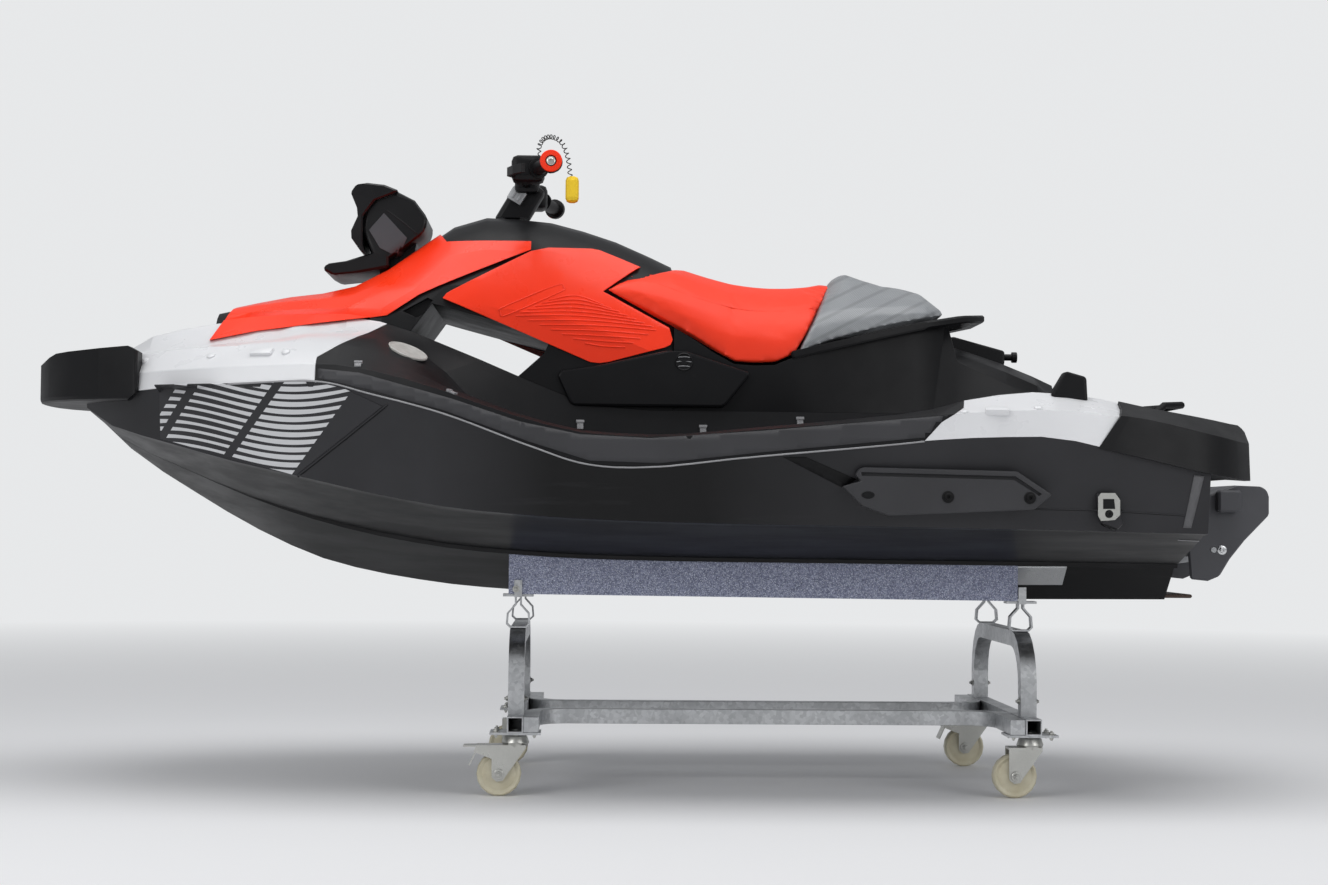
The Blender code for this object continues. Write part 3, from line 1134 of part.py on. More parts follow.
def build_frame(name, x, steel):
    """Arch, base tube, caster plates and bunk straps of one end of the dolly, welded together."""
    half = TUBE / 2
    base_z = BASE_BOTTOM_Z + half
    base = box_mesh((x - half, -BASE_HALF, BASE_BOTTOM_Z), (x + half, BASE_HALF, BASE_BOTTOM_Z + TUBE))
    bore = box_mesh((x - half + TUBE_WALL, -0.5, BASE_BOTTOM_Z + TUBE_WALL),
                    (x + half - TUBE_WALL, 0.5, BASE_BOTTOM_Z + TUBE - TUBE_WALL))
    bar_z = ARCH_TOP_Z - half
    corner = arc((-LEG_Y + ARCH_BEND, bar_z - ARCH_BEND), ARCH_BEND, 180, 90, 5)
    path = [(x, -LEG_Y, base_z + half - 0.002)] + [(x, y, z) for y, z in corner]
    path += [(x, -y, z) for _, y, z in reversed(path)]
    pieces = [sweep_mesh(path, square(TUBE), up=(1, 0, 0))]
    saddle_z = bunk_bottom(x) - 0.006
    for side in (-1, 1):
        y = side * CASTER_Y
        pieces.append(box_mesh((x - PLATE_LENGTH / 2, y - PLATE_WIDTH / 2, BASE_BOTTOM_Z - PLATE_THICK),
                               (x + PLATE_LENGTH / 2, y + PLATE_WIDTH / 2, BASE_BOTTOM_Z + 0.0005)))
        y = side * BUNK_Y
        saddle = [(x - 0.035, saddle_z), (x + 0.035, saddle_z), (x + 0.035, bunk_bottom(x + 0.035) - GAP),
                  (x - 0.035, bunk_bottom(x - 0.035) - GAP)]
        pieces.append(prism_mesh(saddle, y - 0.020, y + 0.020))
        pieces.append(bunk_strap(x, y, ARCH_TOP_Z, saddle_z + 0.001))
        face = side * (BUNK_Y + BUNK_THICK / 2 + GAP)
        low, high = sorted((face, face + side * 0.004))
        pieces.append(box_mesh((x - 0.009, low, saddle_z), (x + 0.009, high, saddle_z + 0.038)))
        low, high = sorted((side * (BUNK_Y + 0.018), face + side * 0.004))
        pieces.append(box_mesh((x - 0.009, low, saddle_z - 0.001), (x + 0.009, high, saddle_z + 0.003)))
    body = union(cut(base, bore), *pieces)
    pins = []
    for side in (-1, 1):
        pins.append(rod_mesh((x, side * CASTER_Y, 0.12), (x, side * CASTER_Y, BASE_BOTTOM_Z + 0.006),
                             CASTER_PIN_R + PIN_GAP, 16))
    add_object(name, cut(body, *pins), steel)


def bunk_bottom(x):
    share = (x - BUNK_FRONT[0]) / (BUNK_REAR[0] - BUNK_FRONT[0])
    return BUNK_FRONT[1] + share * (BUNK_REAR[1] - BUNK_FRONT[1])


def build_dolly(steel, carpet, alloy, nylon):
    build_frame("dolly_front_frame", FRONT_FRAME_X, steel)
    build_frame("dolly_rear_frame", REAR_FRAME_X, steel)
    front = FRONT_FRAME_X + TUBE / 2 + RAIL_TUBE / 2 + GAP
    rear = REAR_FRAME_X - TUBE / 2 - RAIL_TUBE / 2 - GAP
    z = BASE_BOTTOM_Z + 0.0005 + GAP + RAIL_TUBE / 2
    corner = arc((front + RAIL_BEND, -RAIL_Y - RAIL_BEND), RAIL_BEND, 180, 90, 5)
    path = [(front, -RAIL_END_Y, z)] + [(x, y, z) for x, y in corner]
    corner = arc((rear - RAIL_BEND, -RAIL_Y - RAIL_BEND), RAIL_BEND, 90, 0, 5)
    path += [(x, y, z) for x, y in corner] + [(rear, -RAIL_END_Y, z)]
    add_pair("dolly_rail", sweep_mesh(path, square(RAIL_TUBE)), steel)
    strip_box = ((STRIP_START_X, -STRIP_OUTER_Y, 0.40), (STRIP_END_X, -STRIP_INNER_Y, 0.60))
    strip = common(loft_mesh(rings(hull_half, HULL_STATIONS, GAP + STRIP_THICK)), box_mesh(*strip_box))
    room = room_mesh(hull_half, HULL_STATIONS)
    add_pair("bunk_strip", cut(strip, room), alloy)
    strip_room = common(loft_mesh(rings(hull_half, HULL_STATIONS, 3 * GAP + STRIP_THICK)),
                        grown_box(strip_box, 2 * GAP))
    outline = [BUNK_FRONT, (BUNK_FRONT[0], 0.60), (BUNK_REAR[0], 0.60), BUNK_REAR]
    block = prism_mesh(outline, -BUNK_Y - BUNK_THICK / 2, -BUNK_Y + BUNK_THICK / 2)
    add_pair("bunk", cut(block, room.copy(), strip_room), carpet)
    places = [
        ("front_port", FRONT_FRAME_X, -CASTER_Y, True), ("front_starboard", FRONT_FRAME_X, CASTER_Y, False),
        ("rear_port", REAR_FRAME_X, -CASTER_Y, False), ("rear_starboard", REAR_FRAME_X, CASTER_Y, True),
    ]
    for place, x, y, braked in places:
        build_caster(place, x, y, braked, steel, nylon)


def build_caster(place, x, y, braked, steel, nylon):
    wheel_x = x - CASTER_TRAIL
    inner = WHEEL_WIDTH / 2 + FORK_CLEAR
    plate_z = BASE_BOTTOM_Z - PLATE_THICK
    crown_z = WHEEL_R * 2 + 0.010
    swivel = turned_mesh([(0.0, crown_z), (0.026, crown_z), (0.031, crown_z + 0.010), (0.026, plate_z - 0.005),
                          (CASTER_PIN_R, plate_z - 0.005), (CASTER_PIN_R, BASE_BOTTOM_Z + 0.004),
                          (0.0, BASE_BOTTOM_Z + 0.004)], 12)
    pieces = [
        placed(swivel, (x, y, 0.0)),
        box_mesh((wheel_x - 0.016, y - inner - 0.004, crown_z),
                 (x + 0.024, y + inner + 0.004, crown_z + 0.005)),
        rod_mesh((wheel_x, y - inner - 0.008, WHEEL_R), (wheel_x, y + inner + 0.008, WHEEL_R), AXLE_R, 10),
    ]
    foot = arc((wheel_x, WHEEL_R), 0.017, 160, 350, 4)
    for hand in (-1, 1):
        low, high = sorted((y + hand * inner, y + hand * (inner + 0.004)))
        pieces.append(prism_mesh(foot + [(x + 0.024, crown_z - 0.002), (x + 0.024, crown_z + 0.002),
                                         (wheel_x - 0.016, crown_z + 0.002)], low, high))
    if braked:
        back = wheel_x - 0.050
        for hand in (-1, 1):
            low, high = sorted((y + hand * (inner + 0.0005), y + hand * (inner + 0.0035)))
            cheek = [(wheel_x, crown_z + 0.0045), (back, crown_z + 0.0045), (back - 0.006, crown_z - 0.010),
                     (wheel_x + 0.004, crown_z - 0.034)]
            pieces.append(prism_mesh(cheek, low, high))
        wide = inner + 0.002
        strap = [(-wide, -0.0015), (wide, -0.0015), (wide, 0.0015), (-wide, 0.0015)]
        pieces.append(sweep_mesh([(wheel_x, y, crown_z + 0.003), (back - 0.030, y, crown_z + 0.002)], strap))
        pieces.append(sweep_mesh([(back + 0.004, y, crown_z + 0.002), (back - 0.004, y, crown_z - 0.014),
                                  (back - 0.016, y, crown_z - 0.040)], strap))
    add_object("caster_fork_" + place, union(*pieces), steel, (x, y, plate_z))
    half = WHEEL_WIDTH / 2
    profile = [(AXLE_R + PIN_GAP, -half - 0.002), (0.018, -half - 0.002), (0.038, -half + 0.004),
               (WHEEL_R - 0.004, -half), (WHEEL_R, -half + 0.005), (WHEEL_R, half - 0.005),
               (WHEEL_R - 0.004, half), (0.038, half - 0.004), (0.018, half + 0.002), (AXLE_R + PIN_GAP, half + 0.002)]
    wheel = placed(turned_mesh(profile, 18, True), (wheel_x, y, WHEEL_R), "Y")
    add_object("caster_wheel_" + place, wheel, nylon, (wheel_x, y, WHEEL_R))


def main():
    clear_scene()
    black = make_material("black_polymer", (0.018, 0.018, 0.020), 0.45)
    dark = make_material("dark_grey_polymer", (0.045, 0.045, 0.050), 0.5)
    white = make_material("white_polymer", (0.78, 0.79, 0.80), 0.35)
    red = make_material("red_polymer", (0.83, 0.055, 0.012), 0.35)
    silver = make_material("silver_vinyl", (0.30, 0.32, 0.34), 0.45)
    rubber = make_material("bumper_rubber", (0.022, 0.022, 0.024), 0.6)
    metal = make_material("cast_aluminium", (0.35, 0.36, 0.37), 0.4, 1.0)
    steel = make_material("zinc_plated_steel", (0.42, 0.43, 0.44), 0.35, 1.0)
    alloy = make_material("alloy_strip", (0.62, 0.63, 0.64), 0.3, 1.0)
    carpet = make_material("bunk_carpet", (0.10, 0.13, 0.17), 0.95)
    nylon = make_material("cream_nylon", (0.68, 0.62, 0.45), 0.5)
    yellow = make_material("float_foam", (0.85, 0.62, 0.02), 0.7)
    build_hull(black)
    build_deck(black, white, rubber)
    build_bow_bumper(rubber)
    build_console(black, red)
    build_seat(black, red, silver)
    build_engine_covers(dark)
    build_gauge_pod(black)
    build_steering(black, dark, yellow)
    build_deck_fittings(black, dark)
    build_hull_fittings(dark)
    build_jet(metal, dark, steel)
    build_dolly(steel, carpet, alloy, nylon)


main()
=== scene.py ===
import json
import math

import bmesh
import bpy
from mathutils import Matrix, Vector
from mathutils.bvhtree import BVHTree
from mathutils.geometry import delaunay_2d_cdt


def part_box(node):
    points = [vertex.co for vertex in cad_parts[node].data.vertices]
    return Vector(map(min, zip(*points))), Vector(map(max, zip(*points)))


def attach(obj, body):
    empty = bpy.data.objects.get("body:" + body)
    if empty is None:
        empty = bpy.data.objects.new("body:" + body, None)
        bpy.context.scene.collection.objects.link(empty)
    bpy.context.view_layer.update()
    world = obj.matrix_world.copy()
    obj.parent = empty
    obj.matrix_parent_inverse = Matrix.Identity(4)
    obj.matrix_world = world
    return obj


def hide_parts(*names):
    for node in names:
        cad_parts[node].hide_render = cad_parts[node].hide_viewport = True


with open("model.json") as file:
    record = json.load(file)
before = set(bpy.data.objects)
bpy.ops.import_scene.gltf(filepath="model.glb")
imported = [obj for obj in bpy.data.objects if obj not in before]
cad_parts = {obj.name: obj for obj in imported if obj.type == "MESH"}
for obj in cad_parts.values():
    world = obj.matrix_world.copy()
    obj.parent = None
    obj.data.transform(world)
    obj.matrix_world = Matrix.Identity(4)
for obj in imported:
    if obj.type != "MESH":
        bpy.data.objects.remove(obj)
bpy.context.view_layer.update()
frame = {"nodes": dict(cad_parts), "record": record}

nodes = frame["nodes"]
bodyOf = {node: body for body, members in frame["record"]["behaviour"]["bodies"].items() for node in members}
scene = bpy.context.scene
sides = {"Port": -1, "Starboard": 1}
print("frame loaded:", len(nodes), "nodes")

# camera, matched to the photo
camera = {"place": (-0.181, -5.5, 0.61), "turn": 2.08, "tilt": 2.07, "roll": 0.5, "lens": 61.86,
          "sensor": 36, "reach": 60}
photo = {"width": 1328, "height": 885}


def addCamera(c):
    data = bpy.data.cameras.new("sideCamera")
    data.lens = c["lens"]
    data.sensor_width = c["sensor"]
    data.clip_end = c["reach"]
    made = bpy.data.objects.new("sideCamera", data)
    scene.collection.objects.link(made)
    turn = Matrix.Rotation(math.radians(-c["turn"]), 4, "Z")
    tilt = Matrix.Rotation(math.radians(90 + c["tilt"]), 4, "X")
    roll = Matrix.Rotation(math.radians(c["roll"]), 4, "Z")
    made.matrix_world = Matrix.Translation(c["place"]) @ turn @ tilt @ roll
    scene.camera = made
    return made.matrix_world.copy()


cameraPlace = addCamera(camera)
print("camera done")


# where things sit
def photoRay(px, py):
    # from the camera through a pixel of the photo
    step = camera["sensor"] / camera["lens"] / photo["width"]
    ray = Vector(((px - photo["width"] / 2) * step, (photo["height"] / 2 - py) * step, -1))
    return cameraPlace.translation, (cameraPlace.to_3x3() @ ray).normalized()


trees = {}


def surface(node):
    if node not in trees:
        mesh = nodes[node].data
        corners = [vert.co.copy() for vert in mesh.vertices]
        trees[node] = BVHTree.FromPolygons(corners, [face.vertices[:] for face in mesh.polygons])
    return trees[node]


def firstHit(origin, ray, names):
    found = [surface(name).ray_cast(origin, ray) for name in names]
    found = [hit for hit in found if hit[0] is not None]
    if not found:
        return None
    spot, normal, index, distance = min(found, key=lambda hit: hit[3])
    return spot, (-normal if normal.dot(ray) > 0 else normal)


def pixelSpot(pixel, *names):
    origin, ray = photoRay(*pixel)
    return firstHit(origin, ray, names)


def planeSpot(pixel, y):
    origin, ray = photoRay(*pixel)
    return origin + ray * ((y - origin.y) / ray.y)


def sideSpot(x, z, side, *names):
    return firstHit(Vector((x, side * 1.5, z)), Vector((0, -side, 0)), names)


def mirrored(spot):
    # the same spot on the other side
    return tuple(Vector((v.x, -v.y, v.z)) for v in spot)


# small makers
def link(obj):
    scene.collection.objects.link(obj)
    return obj


def meshObject(name, shape, material=None, sharp=0.6):
    # a closed bmesh to an object at the origin
    bmesh.ops.remove_doubles(shape, verts=shape.verts, dist=1e-6)
    bmesh.ops.recalc_face_normals(shape, faces=shape.faces)
    mesh = bpy.data.meshes.new(name)
    shape.to_mesh(mesh)
    shape.free()
    if material:
        mesh.materials.append(material)
    mesh.shade_smooth()
    if sharp:
        mesh.set_sharp_from_angle(angle=sharp)
    return link(bpy.data.objects.new(name, mesh))


def plainMesh(obj, name, material=None):
    # modifiers applied, place put into the mesh
    bpy.context.view_layer.update()
    graph = bpy.context.evaluated_depsgraph_get()
    mesh = bpy.data.meshes.new_from_object(obj.evaluated_get(graph))
    mesh.transform(obj.matrix_world)
    bpy.data.objects.remove(obj)
    mesh.name = name
    if material:
        mesh.materials.clear()
        mesh.materials.append(material)
    return link(bpy.data.objects.new(name, mesh))


def turnedShape(shape, profile, steps, place=Matrix()):
    # (radius, height) pairs from the bottom up, on or off the axis at both ends
    rings = []
    for radius, height in profile:
        if radius < 1e-6:
            rings.append([shape.verts.new(place @ Vector((0, 0, height)))] * steps)
            continue
        angles = [2 * math.pi * (i + 0.5) / steps for i in range(steps)]
        rings.append([shape.verts.new(place @ Vector((radius * math.cos(a), radius * math.sin(a), height)))
                      for a in angles])
    for low, high in zip(rings, rings[1:]):
        for i in range(steps):
            j = (i + 1) % steps
            corners = list(dict.fromkeys((low[i], low[j], high[j], high[i])))
            if len(corners) > 2:
                shape.faces.new(corners)


def blockShape(shape, low, high, bevel=0.0, place=Matrix()):
    made = bmesh.ops.create_cube(shape, size=1.0)["verts"]
    centre = (Vector(low) + Vector(high)) / 2
    size = Vector(high) - Vector(low)
    for vert in made:
        vert.co = Vector((vert.co.x * size.x, vert.co.y * size.y, vert.co.z * size.z)) + centre
    if bevel:
        edges = list({e for v in made for e in v.link_edges})
        made = bmesh.ops.bevel(shape, geom=edges, offset=bevel, segments=2, profile=0.6,
                               affect="EDGES")["verts"]
    bmesh.ops.transform(shape, matrix=place, verts=list({v for v in made if v.is_valid}))


# finishes
class Finish:
    # a material with short ways to add nodes
    def __init__(self, name):
        self.material = bpy.data.materials.new(name)
        self.material.use_nodes = True
        self.tree = self.material.node_tree
        self.shader = self.tree.nodes["Principled BSDF"]
        self.coords = self.add("ShaderNodeTexCoord").outputs["Object"]

    def add(self, kind, **values):
        node = self.tree.nodes.new(kind)
        for key, value in values.items():
            setattr(node, key, value)
        return node

    def join(self, a, b):
        self.tree.links.new(a, b)

    def put(self, socket, value):
        if isinstance(value, bpy.types.NodeSocket):
            self.join(value, socket)
        else:
            socket.default_value = value

    def noise(self, scale, detail=3.0, rough=0.5, stretch=None):
        node = self.add("ShaderNodeTexNoise")
        node.inputs["Scale"].default_value = scale
        node.inputs["Detail"].default_value = detail
        node.inputs["Roughness"].default_value = rough
        self.join(self.stretched(stretch) if stretch else self.coords, node.inputs["Vector"])
        return node.outputs["Fac"]

    def cells(self, scale, out="Distance"):
        node = self.add("ShaderNodeTexVoronoi")
        node.inputs["Scale"].default_value = scale
        self.join(self.coords, node.inputs["Vector"])
        return node.outputs[out]

    def stretched(self, scale, turn=(0, 0, 0)):
        node = self.add("ShaderNodeMapping")
        node.inputs["Rotation"].default_value = [math.radians(a) for a in turn]
        node.inputs["Scale"].default_value = scale
        self.join(self.coords, node.inputs["Vector"])
        return node.outputs["Vector"]

    def maths(self, operation, a, b=0.0, c=0.0):
        node = self.add("ShaderNodeMath", operation=operation)
        for socket, value in zip(node.inputs, (a, b, c)):
            self.put(socket, value)
        return node.outputs[0]

    def spread(self, value, low, high, toLow=0.0, toHigh=1.0):
        node = self.add("ShaderNodeMapRange")
        self.put(node.inputs["Value"], value)
        node.inputs["From Min"].default_value = low
        node.inputs["From Max"].default_value = high
        node.inputs["To Min"].default_value = toLow
        node.inputs["To Max"].default_value = toHigh
        return node.outputs["Result"]

    def blend(self, share, a, b):
        node = self.add("ShaderNodeMix", data_type="RGBA")
        self.put(node.inputs["Factor"], share)
        for socket, value in ((node.inputs["A"], a), (node.inputs["B"], b)):
            self.put(socket, (*value, 1.0) if isinstance(value, tuple) and len(value) == 3 else value)
        return node.outputs["Result"]

    def axis(self, letter, source=None):
        node = self.add("ShaderNodeSeparateXYZ")
        self.join(source or self.coords, node.inputs[0])
        return node.outputs[letter]

    def facing(self, letter):
        return self.axis(letter, self.add("ShaderNodeNewGeometry").outputs["Normal"])

    def bump(self, height, depth):
        node = self.add("ShaderNodeBump")
        node.inputs["Strength"].default_value = 1.0
        node.inputs["Distance"].default_value = depth
        self.put(node.inputs["Height"], height)
        return node.outputs["Normal"]

    def set(self, **values):
        names = {"colour": "Base Color", "roughness": "Roughness", "metallic": "Metallic",
                 "normal": "Normal", "coat": "Coat Weight", "coatRoughness": "Coat Roughness",
                 "sheen": "Sheen Weight", "sheenRoughness": "Sheen Roughness",
                 "specular": "Specular IOR Level"}
        for key, value in values.items():
            if isinstance(value, tuple) and len(value) == 3:
                value = (*value, 1.0)
            self.put(self.shader.inputs[names[key]], value)
        return self.material


def mouldedPlastic(name, p):
    f = Finish(name)
    cloud = f.noise(p.get("cloudScale", 5.0), 4)
    colour = f.blend(f.spread(cloud, 0.35, 0.7), p["colour"], p["shade"])
    dust = f.spread(f.noise(60.0, 5, 0.7), 0.62, 0.80, 0.0, p.get("dust", 0.10))
    colour = f.blend(dust, colour, p.get("dustColour", (0.10, 0.10, 0.10)))
    grain = f.noise(p["grain"], 2, 0.6)
    if p.get("leathery"):
        pores = f.maths("MULTIPLY", f.cells(p["grain"] * 0.8), 0.8)
        grain = f.maths("ADD", pores, f.maths("MULTIPLY", grain, 0.4))
    rough = f.spread(f.noise(14.0, 5), 0.3, 0.7, p["roughness"] - 0.05, p["roughness"] + 0.06)
    return f.set(colour=colour, roughness=rough, normal=f.bump(grain, p["depth"]),
                 coat=p.get("coat", 0.0), coatRoughness=0.12, specular=p.get("specular", 0.5))


def named(columns, row):
    # a row of values, with its last item holding what few looks have
    return dict(zip(columns, row), **row[-1])


plasticColumns = ("colour", "shade", "roughness", "grain", "depth")
plasticLooks = {
    "consoleBlack": ((0.0040, 0.0040, 0.0048), (0.006, 0.006, 0.007), 0.40, 900, 0.00010,
                     {"leathery": True, "specular": 0.20, "dust": 0.04}),
    "deckBlack": ((0.0060, 0.0060, 0.0070), (0.009, 0.009, 0.010), 0.44, 800, 0.00010,
                  {"leathery": True, "specular": 0.20, "dust": 0.05}),
    "bandGrey": ((0.037, 0.037, 0.040), (0.045, 0.045, 0.049), 0.50, 800, 0.00010,
                 {"leathery": True, "specular": 0.28}),
    "bumperBlack": ((0.0045, 0.0045, 0.0052), (0.007, 0.007, 0.008), 0.42, 1000, 0.00010,
                    {"leathery": True, "specular": 0.22, "dust": 0.05}),
    "fairingRed": ((0.93, 0.040, 0.008), (0.90, 0.035, 0.007), 0.30, 350, 0.00002,
                   {"coat": 0.08, "specular": 0.28, "dust": 0.02, "dustColour": (0.8, 0.15, 0.10)}),
    "deckWhite": ((0.70, 0.705, 0.72), (0.66, 0.665, 0.68), 0.30, 350, 0.00002,
                  {"coat": 0.2, "dust": 0.12, "dustColour": (0.50, 0.50, 0.50)}),
    "podBlack": ((0.0040, 0.0040, 0.0048), (0.006, 0.006, 0.007), 0.30, 900, 0.00004,
                 {"specular": 0.28, "dust": 0.03}),
    "wheelNylon": ((0.62, 0.58, 0.44), (0.54, 0.49, 0.35), 0.42, 500, 0.00004,
                   {"cloudScale": 30.0, "dust": 0.30, "dustColour": (0.30, 0.26, 0.19)}),
    "floatYellow": ((0.86, 0.58, 0.012), (0.78, 0.51, 0.010), 0.62, 700, 0.0002, {"leathery": True}),
    "clipGrey": ((0.26, 0.26, 0.27), (0.21, 0.21, 0.22), 0.40, 900, 0.00005, {}),
    "trimLine": ((0.30, 0.30, 0.31), (0.24, 0.24, 0.25), 0.35, 900, 0.00005, {}),
    # near black for the sponson bolt caps, also used as painted shade in a hull recess
    "seamDark": ((0.0035, 0.0035, 0.004), (0.005, 0.005, 0.0055), 0.6, 900, 0.00005, {"specular": 0.2}),
    "stripGrey": ((0.105, 0.105, 0.110), (0.085, 0.085, 0.090), 0.5, 500, 0.0001, {}),
    # grey of the reverse bucket, also used as painted highlight on the gauge pod's side
    "plateGrey": ((0.075, 0.076, 0.084), (0.060, 0.061, 0.068), 0.5, 700, 0.0001,
                  {"leathery": True, "specular": 0.35}),
    "badgePale": ((0.46, 0.45, 0.43), (0.36, 0.35, 0.33), 0.45, 300, 0.00006, {"cloudScale": 60.0}),
    "seatThread": ((0.70, 0.030, 0.008), (0.60, 0.026, 0.007), 0.6, 900, 0.00005, {"dust": 0.0}),
    "cordBlack": ((0.008, 0.008, 0.009), (0.012, 0.012, 0.013), 0.35, 900, 0.00003, {}),
}
looks = {name: mouldedPlastic(name, named(plasticColumns, row)) for name, row in plasticLooks.items()}


def hullFinish():
    # satin charcoal sides; near black and glossier where the surface faces down, with rubbed streaks there
    f = Finish("hullShell")
    down = f.spread(f.facing("Z"), -0.30, -0.42)
    streak = f.noise(9.0, 6, 0.6, stretch=(0.25, 1.0, 3.0))
    scuff = f.spread(streak, 0.58, 0.72)
    side = f.blend(f.spread(f.noise(6.0, 4), 0.3, 0.7), (0.025, 0.025, 0.0275), (0.031, 0.031, 0.034))
    low = f.blend(f.maths("MULTIPLY", scuff, 0.45), (0.0030, 0.0030, 0.0035), (0.026, 0.026, 0.028))
    colour = f.blend(down, side, low)
    rough = f.maths("ADD", f.maths("MULTIPLY", f.maths("SUBTRACT", 1.0, down), 0.44),
                    f.maths("MULTIPLY", down, f.spread(streak, 0.35, 0.7, 0.30, 0.46)))
    grain = f.maths("MULTIPLY", f.noise(700, 2), f.maths("SUBTRACT", 1.0, down))
    return f.set(colour=colour, roughness=rough, normal=f.bump(grain, 0.00006), specular=0.22)


def vinylFinish(name, colour, shade, weave):
    f = Finish(name)
    cloud = f.spread(f.noise(7.0, 4), 0.3, 0.7)
    base = f.blend(cloud, colour, shade)
    if weave:
        # woven look: two crossed sets of fine ribs
        waves = []
        for turn in (38, -38):
            wave = f.add("ShaderNodeTexWave", wave_type="BANDS", bands_direction="X")
            wave.inputs["Scale"].default_value = weave
            f.join(f.stretched((1, 0.6, 1), turn=(0, turn, 0)), wave.inputs["Vector"])
            waves.append(wave.outputs["Fac"])
        cross = f.maths("MULTIPLY", *waves)
        band = f.add("ShaderNodeTexWave", wave_type="BANDS", bands_direction="X")
        band.inputs["Scale"].default_value = 9.0
        f.join(f.stretched((1, 0, 1), turn=(0, -62, 0)), band.inputs["Vector"])
        base = f.blend(f.spread(cross, 0.1, 0.6), base, tuple(min(1.0, c * 1.5) for c in colour))
        seam = f.spread(band.outputs["Fac"], 0.80, 0.98, 0.0, 0.5)
        base = f.blend(seam, base, tuple(c * 0.6 for c in colour))
        normal = f.bump(cross, 0.0003)
        return f.set(colour=base, roughness=0.36, normal=normal, coat=0.15, coatRoughness=0.3)
    grain = f.maths("ADD", f.cells(620), f.maths("MULTIPLY", f.noise(1200, 2), 0.4))
    return f.set(colour=base, roughness=0.44, normal=f.bump(grain, 0.00018), sheen=0.03, sheenRoughness=0.4,
                 specular=0.28)


def carpetFinish(name, colours):
    f = Finish(name)
    fleck = f.noise(230, 4, 0.75)
    cloud = f.noise(26, 4)
    base = f.blend(f.spread(fleck, 0.42, 0.60), colours[0], colours[1])
    light = f.maths("MULTIPLY", f.spread(f.cells(300), 0.40, 0.12), 0.9)
    base = f.blend(light, base, colours[2])
    base = f.blend(f.spread(cloud, 0.3, 0.75, 0.0, 0.25), base, colours[0])
    tuft = f.maths("ADD", f.cells(300), f.maths("MULTIPLY", fleck, 0.8))
    return f.set(colour=base, roughness=0.95, normal=f.bump(tuft, 0.0016), sheen=0.35, sheenRoughness=0.6,
                 specular=0.15)


def metalFinish(name, p):
    f = Finish(name)
    spangle = f.cells(p["spangle"], out="Color")
    tone = f.add("ShaderNodeSeparateColor")
    f.join(spangle, tone.inputs[0])
    cloud = f.noise(8.0, 5)
    base = f.blend(f.spread(tone.outputs[0], 0.0, 1.0, 0.0, p["spread"]), p["colour"], p["light"])
    base = f.blend(f.spread(cloud, 0.45, 0.75, 0.0, 0.5), base, p["dull"])
    even = f.spread(cloud, 0.3, 0.7, p["roughness"] - 0.06, p["roughness"] + 0.08)
    rough = f.maths("ADD", f.maths("MULTIPLY", tone.outputs[1], 0.10), even)
    return f.set(colour=base, metallic=p.get("metallic", 1.0), roughness=rough,
                 normal=f.bump(f.noise(260, 3), 0.00008))


metalColumns = ("colour", "light", "dull", "spangle", "spread", "roughness")
metalLooks = {
    "galvanised": ((0.46, 0.47, 0.48), (0.66, 0.67, 0.68), (0.33, 0.34, 0.35), 120, 0.8, 0.32, {}),
    "zincPlate": ((0.55, 0.55, 0.52), (0.68, 0.68, 0.64), (0.40, 0.40, 0.37), 600, 0.3, 0.28, {}),
    "castAlloy": ((0.33, 0.34, 0.35), (0.42, 0.43, 0.44), (0.24, 0.24, 0.25), 900, 0.4, 0.42, {}),
    "rustPlate": ((0.055, 0.034, 0.026), (0.075, 0.046, 0.034), (0.035, 0.024, 0.020), 300, 0.6, 0.5,
                  {"metallic": 0.3}),
    "millAlloy": ((0.66, 0.67, 0.68), (0.74, 0.75, 0.76), (0.52, 0.53, 0.54), 900, 0.3, 0.26, {}),
    "impellerSteel": ((0.58, 0.59, 0.60), (0.68, 0.69, 0.70), (0.48, 0.49, 0.50), 700, 0.3, 0.22, {}),
}
for name, row in metalLooks.items():
    looks[name] = metalFinish(name, named(metalColumns, row))
looks["hullShell"] = hullFinish()
looks["seatRed"] = vinylFinish("seatRed", (0.90, 0.042, 0.010), (0.86, 0.037, 0.009), 0)
looks["seatSilver"] = vinylFinish("seatSilver", (0.215, 0.225, 0.235), (0.18, 0.19, 0.20), 95)
carpetTones = [(0.15, 0.165, 0.245), (0.36, 0.385, 0.52), (0.80, 0.84, 0.95)]
looks["bunkCarpet"] = carpetFinish("bunkCarpet", carpetTones)


def bowFinish(p):
    # dark panel with flowing pale bands that swell and thin, broken by slanted clear strips
    f = Finish("bowPanel")
    x = f.axis("X")
    z = f.axis("Z")
    swing = f.maths("SINE", f.maths("MULTIPLY_ADD", x, p["swingRate"], p["swingStart"]))
    drift = f.maths("MULTIPLY_ADD", x, p["slope"], f.maths("MULTIPLY", swing, p["swing"]))
    phase = f.maths("MULTIPLY", f.maths("ADD", z, drift), 2 * math.pi / p["pitch"])
    wave = f.maths("SINE", phase)
    width = f.maths("MULTIPLY_ADD", f.maths("SINE", f.maths("MULTIPLY", x, p["swellRate"])), 0.42, -0.02)
    band = f.maths("GREATER_THAN", wave, width)
    across = f.maths("MULTIPLY_ADD", z, p["gapSlope"], x)
    gap = f.maths("SINE", f.maths("MULTIPLY_ADD", across, 2 * math.pi / p["gapPitch"], p["gapStart"]))
    band = f.maths("MULTIPLY", band, f.maths("LESS_THAN", gap, p["gapLimit"]))
    band = f.maths("MULTIPLY", band, f.maths("LESS_THAN", across, p["end"]))
    band = f.maths("MULTIPLY", band, f.maths("GREATER_THAN", across, p["start"]))
    dark = f.blend(f.spread(f.noise(6.0, 3), 0.35, 0.7), (0.018, 0.018, 0.021), (0.024, 0.024, 0.027))
    colour = f.blend(band, dark, (0.56, 0.565, 0.58))
    return f.set(colour=colour, roughness=0.38, normal=f.bump(f.noise(700, 2), 0.00005), specular=0.35)


